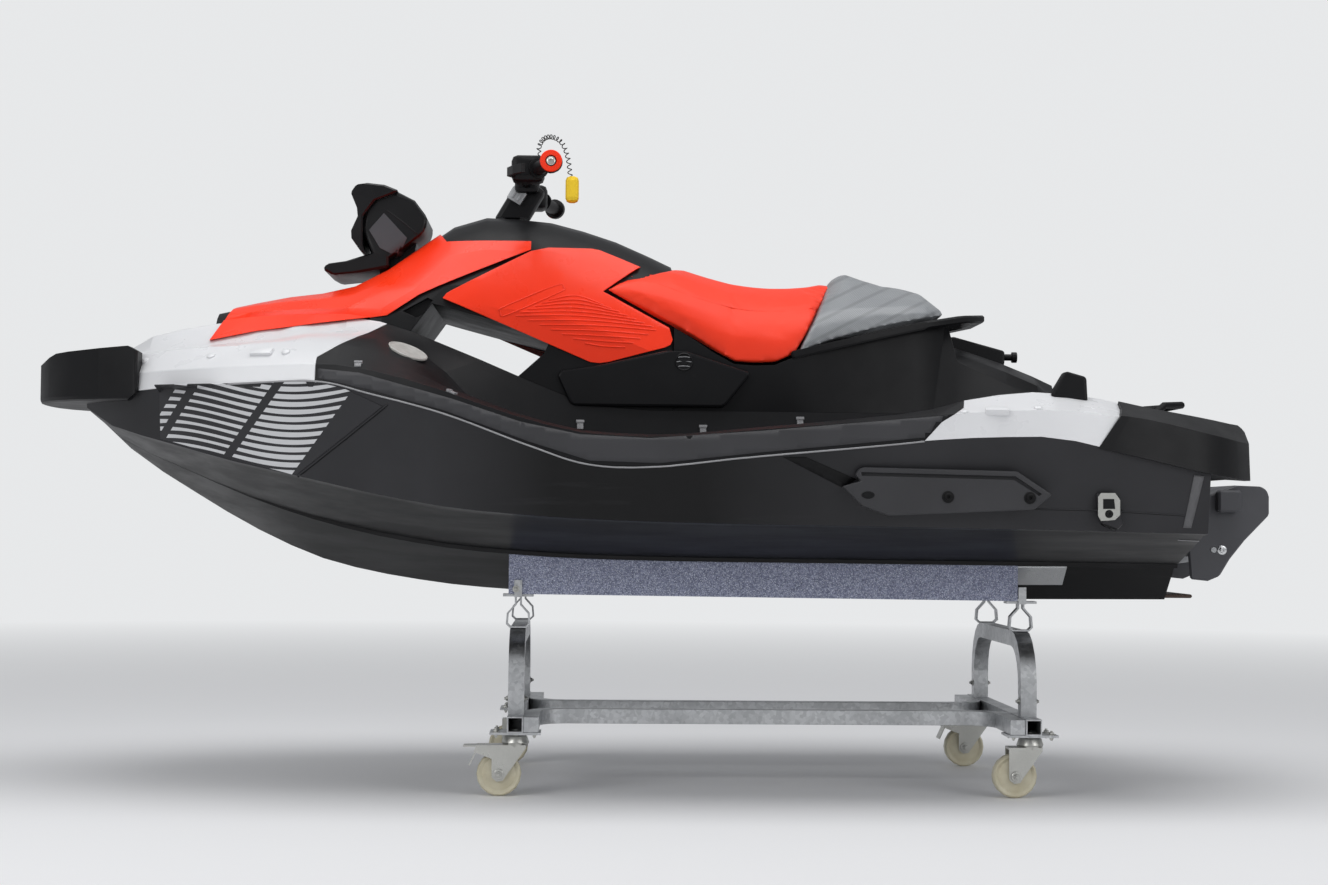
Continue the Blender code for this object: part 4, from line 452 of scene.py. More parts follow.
looks["bowPanel"] = bowFinish({"swingRate": 11.0, "swingStart": 10.6, "swing": 0.020, "slope": 0.03,
                               "pitch": 0.0165, "swellRate": 17.0, "gapSlope": -0.75, "gapPitch": 0.190,
                               "gapStart": 1.9, "gapLimit": 0.93, "end": -1.352, "start": -1.760})
print("finishes done:", len(looks))

# lanyard: a curly cord from the switch over the grip to its float
lanyard = {"loop": 0.0047, "cord": 0.0023, "turns": 19, "steps": 16, "ease": 0.06,
           "route": [(-0.282, -0.262, 1.452), (-0.285, -0.262, 1.475), (-0.275, -0.290, 1.491),
                     (-0.255, -0.325, 1.491), (-0.232, -0.352, 1.474), (-0.218, -0.364, 1.440),
                     (-0.212, -0.366, 1.400), (-0.209, -0.364, 1.378)]}


def smoothLine(points, count):
    # even steps along a smooth curve through the points
    points = [Vector(p) for p in points]
    ends = [points[0] * 2 - points[1]] + points + [points[-1] * 2 - points[-2]]
    fine = []
    for a, b, c, d in zip(ends, ends[1:], ends[2:], ends[3:]):
        for i in range(24):
            t = i / 24
            fine.append(0.5 * (2 * b + (c - a) * t + (2 * a - 5 * b + 4 * c - d) * t * t
                               + (3 * b - a - 3 * c + d) * t ** 3))
    fine.append(points[-1])
    lengths = [0.0]
    for a, b in zip(fine, fine[1:]):
        lengths.append(lengths[-1] + (b - a).length)
    line = []
    k = 0
    for i in range(count):
        want = lengths[-1] * i / (count - 1)
        while k < len(lengths) - 2 and lengths[k + 1] < want:
            k += 1
        share = (want - lengths[k]) / max(lengths[k + 1] - lengths[k], 1e-9)
        line.append(fine[k].lerp(fine[k + 1], share))
    return line


def curlyCord(c):
    count = c["turns"] * c["steps"] + 1
    line = smoothLine(c["route"], count)
    side = Vector((0, 0, 1)).cross(line[1] - line[0])
    side = side if side.length > 1e-6 else Vector((1, 0, 0))
    curve = bpy.data.curves.new("lanyardCurl", "CURVE")
    curve.dimensions = "3D"
    curve.bevel_depth = c["cord"] / 2
    curve.bevel_resolution = 2
    curve.use_fill_caps = True
    spline = curve.splines.new("POLY")
    spline.points.add(count - 1)
    points = []
    for i, centre in enumerate(line):
        along = (line[min(i + 1, count - 1)] - line[max(i - 1, 0)]).normalized()
        side = (side - along * side.dot(along)).normalized()
        share = i / (count - 1)
        reach = c["loop"] * min(1.0, share / c["ease"], (1 - share) / c["ease"])
        angle = 2 * math.pi * i / c["steps"]
        points.append(centre + (side * math.cos(angle) + along.cross(side) * math.sin(angle)) * reach)
    for point, place in zip(spline.points, points):
        point.co = (*place, 1.0)
    curve.materials.append(looks["cordBlack"])
    made = link(bpy.data.objects.new("lanyardCurl", curve))
    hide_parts("lanyard_cord")
    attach(made, "steering")


curlyCord(lanyard)

# carried nodes: merged, edges eased, evenly shaded
nodeLooks = {
    "hullShell": "hull", "deckBlack": "deck", "podBlack": "gauge_pod handlebar",
    "floatYellow": "lanyard_float",
    "consoleBlack": "console engine_cover seat_base steering_column switch_pod gunwale_wedge stern_loop "
                    "grab_handle tow_eye",
    "deckWhite": "bow_deck_panel rear_deck_panel", "bumperBlack": "rear_bumper bow_bumper grip",
    "fairingRed": "front_fairing side_fairing", "bandGrey": "sponson", "rustPlate": "ride_plate",
    "castAlloy": "intake_grate jet_pump steering_nozzle", "impellerSteel": "impeller",
    "plateGrey": "reverse_bucket", "galvanised": "dolly_front_frame dolly_rear_frame dolly_rail",
    "millAlloy": "bunk_strip", "bunkCarpet": "bunk", "zincPlate": "caster_fork",
    "wheelNylon": "caster_wheel",
}
nodeLooks = {node: look for look, group in nodeLooks.items() for node in group.split()}
edgeEase = {"hull": 0.0025, "deck": 0.0025, "console": 0.003, "seat_base": 0.003, "gauge_pod": 0.002,
            "bow_deck_panel": 0.002, "rear_deck_panel": 0.002, "front_fairing": 0.0015,
            "side_fairing": 0.002, "engine_cover": 0.0015, "rear_bumper": 0.0025, "bow_bumper": 0.003,
            "dolly": 0.0008, "caster_wheel": 0.0008, "bunk": 0.004, "bunk_strip": 0.0004}
# the merge and flat angles join the plates' triangles; edges past the sharp angle are eased
easing = {"merge": 2e-5, "flat": 0.008, "quadFace": 0.35, "quadShape": 1.4, "sharp": 0.52, "plain": 0.001,
          "weight": 50}
keptNodes = ("lanyard_float", "seat_front", "seat_tail", "lanyard_cord")


def longestKey(name, table):
    return max((k for k in table if name.startswith(k)), key=len, default=None)


def easedCopy(node, name, material, ease, e):
    shape = bmesh.new()
    shape.from_mesh(nodes[node].data)
    bmesh.ops.remove_doubles(shape, verts=shape.verts, dist=e["merge"])
    bmesh.ops.dissolve_limit(shape, angle_limit=e["flat"], verts=shape.verts, edges=shape.edges)
    triangles = [face for face in shape.faces if len(face.verts) == 3]
    bmesh.ops.join_triangles(shape, faces=triangles, angle_face_threshold=e["quadFace"],
                             angle_shape_threshold=e["quadShape"])
    mesh = bpy.data.meshes.new(name)
    shape.to_mesh(mesh)
    shape.free()
    mesh.shade_smooth()
    mesh.set_sharp_from_angle(angle=e["sharp"])
    made = link(bpy.data.objects.new(name, mesh))
    bevel = made.modifiers.new("easedEdges", "BEVEL")
    bevel.width = ease
    bevel.segments = 2
    bevel.limit_method = "ANGLE"
    bevel.angle_limit = e["sharp"]
    even = made.modifiers.new("evenShade", "WEIGHTED_NORMAL")
    even.keep_sharp = True
    even.weight = e["weight"]
    return plainMesh(made, name, material)


def camel(words):
    first, *rest = words.split("_")
    return first + "".join(word.capitalize() for word in rest)


for name in nodes:
    if name in keptNodes:
        continue
    ease = edgeEase.get(longestKey(name, edgeEase), easing["plain"])
    piece = easedCopy(name, camel(name), looks[nodeLooks[longestKey(name, nodeLooks)]], ease, easing)
    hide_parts(name)
    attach(piece, bodyOf[name])
nodes["lanyard_float"].data.materials.clear()
nodes["lanyard_float"].data.materials.append(looks["floatYellow"])
print("carried nodes dressed")


# seat cushions
seat = {"voxel": 0.006, "shrink": 0.003, "relax": 10, "soften": 0.5, "pressure": 4.0, "frames": 14,
        "cap": 0.005, "mass": 0.4, "stretch": 25, "bend": 4, "fill": 0.95}


def paddedCopy(nodeName, name, material, s):
    shape = bmesh.new()
    shape.from_mesh(nodes[nodeName].data)
    bmesh.ops.remove_doubles(shape, verts=shape.verts, dist=1e-5)
    made = meshObject(name, shape)
    remesh = made.modifiers.new("remesh", "REMESH")
    remesh.mode = "VOXEL"
    remesh.voxel_size = s["voxel"]
    soften = made.modifiers.new("soften", "SMOOTH")
    soften.factor = s["soften"]
    soften.iterations = s["relax"]
    made = plainMesh(made, name, material)
    for vert in made.data.vertices:
        vert.co -= vert.normal * s["shrink"]
    inflate(made, s)
    divide = made.modifiers.new("divide", "SUBSURF")
    divide.levels = divide.render_levels = 1
    made = plainMesh(made, name, material)
    made.data.shade_smooth()
    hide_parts(nodeName)
    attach(made, "craft_and_dolly")


def inflate(made, s):
    # foam pressed out under its vinyl, held to the cap
    before = [v.co.copy() for v in made.data.vertices]
    cloth = made.modifiers.new("cloth", "CLOTH")
    cloth.settings.quality = 3
    cloth.settings.mass = s["mass"]
    cloth.settings.tension_stiffness = s["stretch"]
    cloth.settings.compression_stiffness = s["stretch"]
    cloth.settings.bending_stiffness = s["bend"]
    cloth.settings.use_pressure = True
    cloth.settings.uniform_pressure_force = s["pressure"]
    cloth.settings.effector_weights.gravity = 0
    cloth.point_cache.frame_start = 1
    cloth.point_cache.frame_end = s["frames"]
    for step in range(1, s["frames"] + 1):
        scene.frame_set(step)
    graph = bpy.context.evaluated_depsgraph_get()
    after = bpy.data.meshes.new_from_object(made.evaluated_get(graph))
    for vert, old, new in zip(made.data.vertices, before, after.vertices):
        move = new.co - old
        if move.length > s["cap"]:
            move *= s["cap"] / move.length
        vert.co = old + move
    made.modifiers.clear()
    bpy.data.meshes.remove(after)
    scene.frame_set(1)


paddedCopy("seat_front", "seatFrontPad", looks["seatRed"], seat)
paddedCopy("seat_tail", "seatTailPad", looks["seatSilver"], seat)
print("seat pads done")


# repeats: one piece set on many points, and tubes along lines
def inputNames(tree):
    return {item.name: item.identifier for item in tree.interface.items_tree
            if item.item_type == "SOCKET" and item.in_out == "INPUT"}


def startTree(name, inputs, output):
    # ends in Realize Instances and Set Material
    tree = bpy.data.node_groups.new(name, "GeometryNodeTree")
    for label, kind in inputs:
        tree.interface.new_socket(label, in_out="INPUT", socket_type="NodeSocket" + kind)
    tree.interface.new_socket(output, in_out="OUTPUT", socket_type="NodeSocketGeometry")
    new = tree.nodes.new
    entry, leave = new("NodeGroupInput"), new("NodeGroupOutput")
    real, finish = new("GeometryNodeRealizeInstances"), new("GeometryNodeSetMaterial")
    tree.links.new(real.outputs[0], finish.inputs["Geometry"])
    tree.links.new(entry.outputs["Finish"], finish.inputs["Material"])
    tree.links.new(finish.outputs[0], leave.inputs[0])
    return tree, new, entry, real


def pointsTree():
    inputs = (("Points", "Geometry"), ("Piece", "Object"), ("Size", "Float"), ("Finish", "Material"))
    tree, new, entry, real = startTree("piecesOnPoints", inputs, "Pieces")
    piece, place = new("GeometryNodeObjectInfo"), new("GeometryNodeInstanceOnPoints")
    turn, share = new("GeometryNodeInputNamedAttribute"), new("GeometryNodeInputNamedAttribute")
    turn.data_type = "FLOAT_VECTOR"
    turn.inputs["Name"].default_value = "turn"
    share.data_type = "FLOAT"
    share.inputs["Name"].default_value = "share"
    euler, size = new("FunctionNodeEulerToRotation"), new("ShaderNodeMath")
    size.operation = "MULTIPLY"
    for a, b in ((entry.outputs["Points"], place.inputs["Points"]),
                 (entry.outputs["Piece"], piece.inputs["Object"]),
                 (piece.outputs["Geometry"], place.inputs["Instance"]), (turn.outputs[0], euler.inputs[0]),
                 (euler.outputs[0], place.inputs["Rotation"]), (share.outputs[0], size.inputs[0]),
                 (entry.outputs["Size"], size.inputs[1]), (size.outputs[0], place.inputs["Scale"]),
                 (place.outputs[0], real.inputs[0])):
        tree.links.new(a, b)
    return tree


def linesTree():
    inputs = (("Lines", "Geometry"), ("Radius", "Float"), ("Steps", "Int"), ("Finish", "Material"))
    tree, new, entry, real = startTree("tubesOnLines", inputs, "Tubes")
    curve, ring = new("GeometryNodeMeshToCurve"), new("GeometryNodeCurvePrimitiveCircle")
    tube, smooth = new("GeometryNodeCurveToMesh"), new("GeometryNodeSetShadeSmooth")
    tube.inputs["Fill Caps"].default_value = True
    for a, b in ((entry.outputs["Lines"], curve.inputs[0]), (entry.outputs["Radius"], ring.inputs["Radius"]),
                 (entry.outputs["Steps"], ring.inputs["Resolution"]),
                 (curve.outputs[0], tube.inputs["Curve"]),
                 (ring.outputs[0], tube.inputs["Profile Curve"]), (tube.outputs[0], smooth.inputs[0]),
                 (smooth.outputs[0], real.inputs[0])):
        tree.links.new(a, b)
    return tree


onPoints, onLines = pointsTree(), linesTree()


def grown(name, holder, tree, finish, body, **values):
    modifier = holder.modifiers.new("repeat", "NODES")
    modifier.node_group = tree
    values["Finish"] = finish
    for label, identifier in inputNames(tree).items():
        if label in values:
            modifier[identifier] = values[label]
    made = plainMesh(holder, name, finish)
    for old in [a.name for a in made.data.attributes if a.name in ("turn", "share")]:
        made.data.attributes.remove(made.data.attributes[old])
    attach(made, body)


def repeat(name, piece, places, size, material, body="craft_and_dolly"):
    # places: (point, outward direction, turn about it in degrees, share of the size)
    mesh = bpy.data.meshes.new(name + "Points")
    mesh.from_pydata([tuple(p[0]) for p in places], [], [])
    mesh.attributes.new("turn", "FLOAT_VECTOR", "POINT")
    mesh.attributes.new("share", "FLOAT", "POINT")
    turn, share = mesh.attributes["turn"], mesh.attributes["share"]
    for i, place in enumerate(places):
        spin = math.radians(place[2]) if len(place) > 2 else 0.0
        aim = Vector(place[1]).to_track_quat("Z", "Y").to_matrix() @ Matrix.Rotation(spin, 3, "Z")
        turn.data[i].vector = aim.to_euler()
        share.data[i].value = place[3] if len(place) > 3 else 1.0
    holder = link(bpy.data.objects.new(name + "Points", mesh))
    grown(name, holder, onPoints, looks[material], body, Piece=piece, Size=size)


def tubes(name, lines, radius, material, body="craft_and_dolly", steps=8, closed=False):
    mesh = bpy.data.meshes.new(name + "Lines")
    spots, edges = [], []
    for line in lines:
        first = len(spots)
        spots += [tuple(p) for p in line]
        edges += [(i, i + 1) for i in range(first, len(spots) - 1)]
        if closed:
            edges.append((len(spots) - 1, first))
    mesh.from_pydata(spots, edges, [])
    holder = link(bpy.data.objects.new(name + "Lines", mesh))
    grown(name, holder, onLines, looks[material], body, Radius=radius, Steps=steps)


def fastener(name, profile, steps, sharp=0.5, place=Matrix()):
    shape = bmesh.new()
    turnedShape(shape, profile, steps, place)
    return meshObject(name, shape, sharp=sharp)


def boltPiece():
    # washer, six-sided head and the end of its thread, for a head radius of 1
    shape = bmesh.new()
    turnedShape(shape, [(0, -0.3), (1.55, -0.3), (1.55, 0.18), (1.45, 0.24), (0, 0.24)], 24)
    turnedShape(shape, [(0, 0.2), (0.9, 0.2), (1.0, 0.3), (1.0, 0.85), (0.84, 1.0), (0, 1.0)], 6)
    turnedShape(shape, [(0, 0.9), (0.52, 0.9), (0.52, 1.5), (0.42, 1.6), (0, 1.6)], 12)
    return meshObject("boltPiece", shape, sharp=0.5)


bolt = boltPiece()
capProfile = [(0, -0.3), (1.5, -0.3), (1.5, 0.16), (1.3, 0.3), (1.0, 0.34), (0.95, 0.8), (0.7, 1.0),
              (0.45, 1.0), (0.42, 0.55), (0, 0.55)]
cap = fastener("capPiece", capProfile, 20)
dome = fastener("domePiece", [(0, -0.3), (1.0, -0.3), (1.0, 0.12), (0.86, 0.32), (0.5, 0.46), (0, 0.5)], 20)
clipShape = bmesh.new()
blockShape(clipShape, (-0.36, -0.5, -0.2), (0.36, 0.42, 0.20), 0.06)
blockShape(clipShape, (-0.46, 0.22, -0.2), (0.46, 0.56, 0.30), 0.06)
clip = meshObject("clipPiece", clipShape, sharp=0.5)


# skins that lie on a shell
def inside(x, z, outline):
    hit = False
    for (ax, az), (bx, bz) in zip(outline, outline[1:] + outline[:1]):
        if (az > z) != (bz > z) and x < (bx - ax) * (z - az) / (bz - az) + ax:
            hit = not hit
    return hit


skinFoot = -0.001


def skin(name, outline, shells, side, step, high, material, bevel=0.0):
    # a patch of the outline in x and z, laid on the shells from the side, from its foot to high above them
    border = []
    for (ax, az), (bx, bz) in zip(outline, outline[1:] + outline[:1]):
        count = max(1, round(math.dist((ax, az), (bx, bz)) / step))
        border += [(ax + (bx - ax) * i / count, az + (bz - az) * i / count) for i in range(count)]
    xs, zs = [p[0] for p in outline], [p[1] for p in outline]
    flat = [Vector(p) for p in border]
    columns, rows = int((max(xs) - min(xs)) / step) + 2, int((max(zs) - min(zs)) / step) + 2
    for i in range(columns):
        for j in range(rows):
            x, z = min(xs) + (i + 0.5 * (j % 2)) * step, min(zs) + j * step
            if inside(x, z, outline) and min(math.dist((x, z), p) for p in border) > step * 0.45:
                flat.append(Vector((x, z)))
    loop = [list(range(len(border)))]
    verts, edges, faces, *rest = delaunay_2d_cdt(flat, [], loop, 1, 1e-6)
    shape = bmesh.new()
    hits = [sideSpot(v.x, v.y, side, *shells) for v in verts]
    known = [hit[0].y for hit in hits if hit]
    spare = sum(known) / len(known)
    corners = [shape.verts.new((v.x, hit[0].y if hit else spare, v.y)) for v, hit in zip(verts, hits)]
    for face in faces:
        shape.faces.new([corners[i] for i in face])
    bmesh.ops.recalc_face_normals(shape, faces=shape.faces)
    shape.faces.ensure_lookup_table()
    lean = sum((f.normal * f.calc_area() for f in shape.faces), Vector()).y
    if lean * side < 0:
        bmesh.ops.reverse_faces(shape, faces=shape.faces)
    shape.normal_update()
    for vert in shape.verts:
        vert.co += vert.normal * high
    mesh = bpy.data.meshes.new(name)
    shape.to_mesh(mesh)
    shape.free()
    mesh.shade_smooth()
    piece = link(bpy.data.objects.new(name, mesh))
    wall = piece.modifiers.new("wall", "SOLIDIFY")
    wall.thickness = high - skinFoot
    wall.offset = -1
    if bevel:
        ease = piece.modifiers.new("ease", "BEVEL")
        ease.width = bevel
        ease.segments = 2
        ease.angle_limit = 0.8
        ease.harden_normals = True
    piece = plainMesh(piece, name, looks[material])
    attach(piece, "craft_and_dolly")


def skins(name, *rest, **more):
    for label, side in sides.items():
        outline, shells, *values = rest
        skin(name + label, outline, shells, side, *values, **more)


def pixelOutline(pixels, *shells):
    # where a picture outline meets the shells, as x and z
    return [(spot.x, spot.z) for spot, normal in (pixelSpot(p, *shells) for p in pixels)]


def lineOn(pairs, shells, side, lift, count=24, ends=0.0):
    # a smooth line in x and z, laid on the shells; its ends can dip in
    line = smoothLine([(x, 0, z) for x, z in pairs], count)
    laid = []
    for point in line:
        hit = sideSpot(point.x, point.z, side, *shells)
        if hit:
            laid.append(hit[0] + hit[1] * lift)
    if ends and len(laid) > 2:
        laid[0] -= Vector((0, side, 0)) * ends
        laid[-1] -= Vector((0, side, 0)) * ends
    return laid


# seat seams
seams = {"side": [(-0.010, 1.170), (0.090, 1.135), (0.200, 1.110), (0.310, 1.112), (0.395, 1.128)],
         "lift": 0.0004, "count": 70, "radius": 0.0011, "stitch": 0.0026}
stitch = fastener("stitchPiece", [(0, -1.0), (0.36, -0.8), (0.42, 0), (0.36, 0.8), (0, 1.0)], 8, sharp=0)
for label, side in sides.items():
    line = lineOn(seams["side"], ["seat_front"], side, seams["lift"], seams["count"])
    tubes("seatSeam" + label, [line], seams["radius"], "seatRed", steps=6)
    places = [(a.lerp(b, 0.5), b - a) for a, b in zip(line[::2], line[1::2])]
    repeat("seatStitches" + label, stitch, places, seams["stitch"], "seatThread")
bpy.data.objects.remove(stitch)

# bow panel, fairings and trim
print("details begin")
bowPanel = [(-1.121, 0.908), (-0.95, 0.914), (-0.773, 0.918), (-0.700, 0.902), (-0.612, 0.862),
            (-0.808, 0.712), (-1.126, 0.795)]
skins("bowPanel", bowPanel, ["hull"], 0.012, 0.0018, "bowPanel", bevel=0.0006)

fairing = {"slot": [(500, 311), (506, 315), (560, 291), (563, 286), (556, 284), (503, 307)], "plane": -0.30,
           "ribs": 12, "ribRadius": 0.0021, "ribSink": -0.0004, "slotRadius": 0.0016}
# the fan of ribs: its left edge has two parts, its right edge two, each split at a share of the way down
fan = {"left": ((551, 298), (511, 315), (590, 345)), "leftSplit": 0.45,
       "right": ((600, 302), (662, 328), (622, 349)), "rightSplit": 0.6, "sag": 1.5, "arch": 9}


def between(a, b, t):
    return (a[0] + (b[0] - a[0]) * t, a[1] + (b[1] - a[1]) * t)


def alongEdge(corners, split, t):
    if t < split:
        return between(corners[0], corners[1], t / split)
    return between(corners[1], corners[2], (t - split) / (1 - split))


def ribPixels(f, t):
    start, end = alongEdge(f["left"], f["leftSplit"], t), alongEdge(f["right"], f["rightSplit"], t)
    middle = between(start, end, 0.5)
    return [start, (middle[0], middle[1] + f["sag"] - f["arch"] * (1 - t)), end]


def planePairs(pixels, y):
    # picture points as x and z on an upright plane
    return [(spot.x, spot.z) for spot in (planeSpot(pixel, y) for pixel in pixels)]


for label, side in sides.items():
    shell = "side_fairing_" + label.lower()
    lines = []
    for k in range(fairing["ribs"]):
        pairs = planePairs(ribPixels(fan, (k + 0.5) / fairing["ribs"]), fairing["plane"])
        line = lineOn(pairs, [shell], side, fairing["ribSink"], 26, 0.003)
        if len(line) > 3:
            lines.append(line)
    tubes("fairingRibs" + label, lines, fairing["ribRadius"], "fairingRed", steps=10)
    pairs = planePairs(fairing["slot"], fairing["plane"])
    rim = lineOn(pairs + pairs[:1], [shell], side, 0.0, 60)
    tubes("fairingSlot" + label, [rim[:-1]], fairing["slotRadius"], "fairingRed", closed=True)

bond = {"line": [(-1.139, 0.904), (-0.950, 0.912), (-0.763, 0.917), (-0.639, 0.889), (-0.475, 0.845),
                 (-0.291, 0.778), (-0.162, 0.739), (-0.011, 0.736), (0.205, 0.760), (0.562, 0.796),
                 (0.80, 0.835), (0.95, 0.838)], "lift": 0.0012, "radius": 0.0019, "count": 120}
for label, side in sides.items():
    upper = lineOn(bond["line"], ["hull", "deck"], side, bond["lift"], bond["count"])
    tubes("bondTrim" + label, [upper], bond["radius"], "trimLine")

bandTop = [(0.578, 0.850), (0.206, 0.815), (-0.032, 0.797), (-0.184, 0.804), (-0.313, 0.830),
           (-0.460, 0.878), (-0.665, 0.935), (-0.757, 0.945)]
bandFoot = [(-0.757, 0.924), (-0.639, 0.897), (-0.475, 0.852), (-0.291, 0.786), (-0.162, 0.747),
            (-0.011, 0.743), (0.205, 0.768), (0.562, 0.804), (0.820, 0.843), (0.840, 0.868)]
skins("gunwaleBand", bandFoot + bandTop, ["deck"], 0.012, 0.0012, "bandGrey")

# painted highlight: a lighter grey skin stands for light falling on the black pod's side; the ridge is
# raised tubes
pod = {"panel": [(369, 230), (384, 213), (407, 238), (402, 256), (395, 257), (380, 248)],
       "ridge": [(384, 209), (402, 222), (419, 236)], "plane": -0.10, "radius": 0.0018}
podHighlightOutline = pixelOutline(pod["panel"], "gauge_pod")
skins("podPanel", podHighlightOutline, ["gauge_pod"], 0.007, 0.0016, "plateGrey", bevel=0.0005)
for label, side in sides.items():
    ridge = lineOn(planePairs(pod["ridge"], pod["plane"]), ["gauge_pod"], side, -0.0004, 20, 0.002)
    tubes("podRidge" + label, [ridge], pod["radius"], "podBlack")


# small blocks clipped over the deck's edges, and round plugs in the pale panels
def onBoth(pixels, shell, turn=0.0):
    # where the pixels meet the shell, and the same spots on the other side
    hits = [hit for hit in (pixelSpot(pixel, shell) for pixel in pixels) if hit]
    return [(*each, turn) for hit in hits for each in (hit, mirrored(hit))]


deckFit = {"clips": [(358, 365), (452, 393), (580, 425), (703, 430), (800, 422), (891, 407)], "clip": 0.020,
           "bow": [(145, 361), (211, 356), (286, 352)], "stern": [(964, 412), (1038, 408)], "plug": 0.010,
           "bowPad": (262, 353), "sternPad": (997, 411), "pad": 0.026}
repeat("deckClips", clip, onBoth(deckFit["clips"], "deck"), deckFit["clip"], "clipGrey")
repeat("bowPlugs", dome, onBoth(deckFit["bow"], "bow_deck_panel"), deckFit["plug"], "deckWhite")
repeat("sternPlugs", dome, onBoth(deckFit["stern"], "rear_deck_panel_port"), deckFit["plug"], "deckWhite")
padShape = bmesh.new()
blockShape(padShape, (-1.0, -0.42, -0.3), (1.0, 0.42, 0.30), 0.14)
padBlock = meshObject("padBlock", padShape, sharp=0.5)
pads = onBoth([deckFit["bowPad"]], "bow_deck_panel") + onBoth([deckFit["sternPad"]], "rear_deck_panel_port")
repeat("deckPads", padBlock, pads, deckFit["pad"], "deckWhite")

badge = {"pixel": (408, 351), "radius": 0.046,
         "profile": [(0, -0.05), (1.0, -0.05), (1.0, 0.03), (0.95, 0.055), (0.90, 0.03), (0.86, 0.022),
                     (0, 0.024)]}
spot = pixelSpot(badge["pixel"], "deck", "console")
badgePiece = fastener("badgePiece", badge["profile"], 48)
repeat("deckBadge", badgePiece, [spot, mirrored(spot)], badge["radius"], "badgePale")

latch = {"pixel": (684, 362), "radius": 0.021, "slots": (-0.5, 0.0, 0.5), "reach": 0.66, "arch": 0.06,
         "lift": 0.0012, "line": 0.0011,
         "profile": [(0, -0.1), (1.0, -0.1), (1.0, 0.06), (0.92, 0.14), (0.80, 0.06), (0.78, 0.03),
                     (0.4, 0.02), (0.36, 0.10), (0, 0.12)]}
spot = pixelSpot(latch["pixel"], "engine_cover_port")
ring = fastener("latchPiece", latch["profile"], 32)
repeat("coverLatches", ring, [spot, mirrored(spot)], latch["radius"], "deckBlack")
slots = []
for centre, normal in (spot, mirrored(spot)):
    across = normal.cross(Vector((0, 0, 1))).normalized()
    up = across.cross(normal)
    for height in latch["slots"]:
        half = math.sqrt(latch["reach"] - height * height)
        slots.append([centre + normal * latch["lift"] + latch["radius"]
                      * (across * half * k / 3 + up * (height + latch["arch"] * (1 - k * k / 9)))
                      for k in range(-3, 4)])
tubes("latchSlots", slots, latch["line"], "trimLine", steps=6)

# hull side fittings
hullFit = {"recess": [(783, 457), (806, 457), (856, 479), (843, 488)],
           "strip": [(1194, 475), (1204, 476), (1191, 528), (1183, 528)],
           "step": [(0.790, 0.652), (0.95, 0.650), (1.165, 0.640)], "stepRadius": 0.0022,
           "edge": [(-0.600, 0.866), (-0.700, 0.789), (-0.803, 0.710)], "edgeRadius": 0.0030,
           "lines": [((1178, 540), (1199, 541)), ((1173, 560), (1196, 561))], "lineRadius": 0.0014}
# painted shade: a near-black skin on the hull stands in for the shade inside a recess
skins("hullRecess", pixelOutline(hullFit["recess"], "hull"), ["hull"], 0.012, 0.0011, "seamDark")
for label, side in sides.items():
    tubes("hullStep" + label, [lineOn(hullFit["step"], ["hull"], side, -0.0006, 30, 0.003)],
          hullFit["stepRadius"], "hullShell")
    tubes("bowPanelEdge" + label, [lineOn(hullFit["edge"], ["hull"], side, 0.0, 24, 0.002)],
          hullFit["edgeRadius"], "hullShell")
skins("sternStrip", pixelOutline(hullFit["strip"], "hull"), ["hull"], 0.010, 0.0016, "stripGrey")

eyelet = {"plate": [(1098, 497), (1101, 493), (1115, 493), (1120, 500), (1120, 515), (1115, 520),
                    (1101, 521), (1098, 516)],
          "hole": [(1103, 499), (1114, 499), (1115, 509), (1103, 509)], "bolt": (1109, 514), "face": 0.5526,
          "foot": 0.001, "plateLift": 0.0016, "holeLift": 0.0021, "boltLift": 0.0014, "boltSize": 0.006}


def facePlate(name, pixels, side, face, foot, lift, material):
    # a flat plate of the picture outline, on an upright face at that distance from the middle
    shape = bmesh.new()
    rim = planePairs(pixels, -face)
    low = [shape.verts.new((x, side * (face - foot), z)) for x, z in rim]
    high = [shape.verts.new((x, side * (face + lift), z)) for x, z in rim]
    shape.faces.new(low)
    shape.faces.new(high[::-1])
    for k in range(len(rim)):
        j = (k + 1) % len(rim)
        shape.faces.new((low[k], high[k], high[j], low[j]))
    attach(meshObject(name, shape, looks[material], sharp=0.5), "craft_and_dolly")


# the eyelet's opening is a black plate laid on the zinc plate: painted shade where the hole is
for label, side in sides.items():
    for part, material in (("plate", "zincPlate"), ("hole", "deckBlack")):
        facePlate("eyelet" + part.capitalize() + label, eyelet[part], side, eyelet["face"], eyelet["foot"],
                  eyelet[part + "Lift"], material)
    [(x, z)] = planePairs([eyelet["bolt"]], -eyelet["face"])
    spot = (x, side * (eyelet["face"] + eyelet["boltLift"]), z)
    repeat("eyeletBolt" + label, cap, [(spot, (0, side, 0))], eyelet["boltSize"], "bumperBlack")

for label, side in sides.items():
    found = [pixels for pixels in hullFit["lines"] if all(pixelSpot(pixel, "hull") for pixel in pixels)]
    lines = [lineOn(pixelOutline(pixels, "hull"), ["hull"], side, 0.0002, 8) for pixels in found]
    tubes("sternLines" + label, [line for line in lines if len(line) > 2], hullFit["lineRadius"],
          "trimLine", steps=6)

sponson = {"bolts": [(948, 497), (1030, 498)], "bolt": 0.0088, "plug": (868, 495), "size": 0.008,
           "long": 1.8,
           "profile": [(0, -0.2), (1.0, -0.2), (1.0, 0.1), (0.9, 0.2), (0.75, 0.2), (0.7, 0.08), (0, 0.08)]}
repeat("sponsonBolts", cap, onBoth(sponson["bolts"], "sponson_port"), sponson["bolt"], "seamDark")
ovalPlug = fastener("ovalPlug", sponson["profile"], 32, place=Matrix.Scale(sponson["long"], 4, (1, 0, 0)))
repeat("sponsonPlugs", ovalPlug, onBoth([sponson["plug"]], "sponson_port"), sponson["size"], "deckBlack")
print("shell details done")

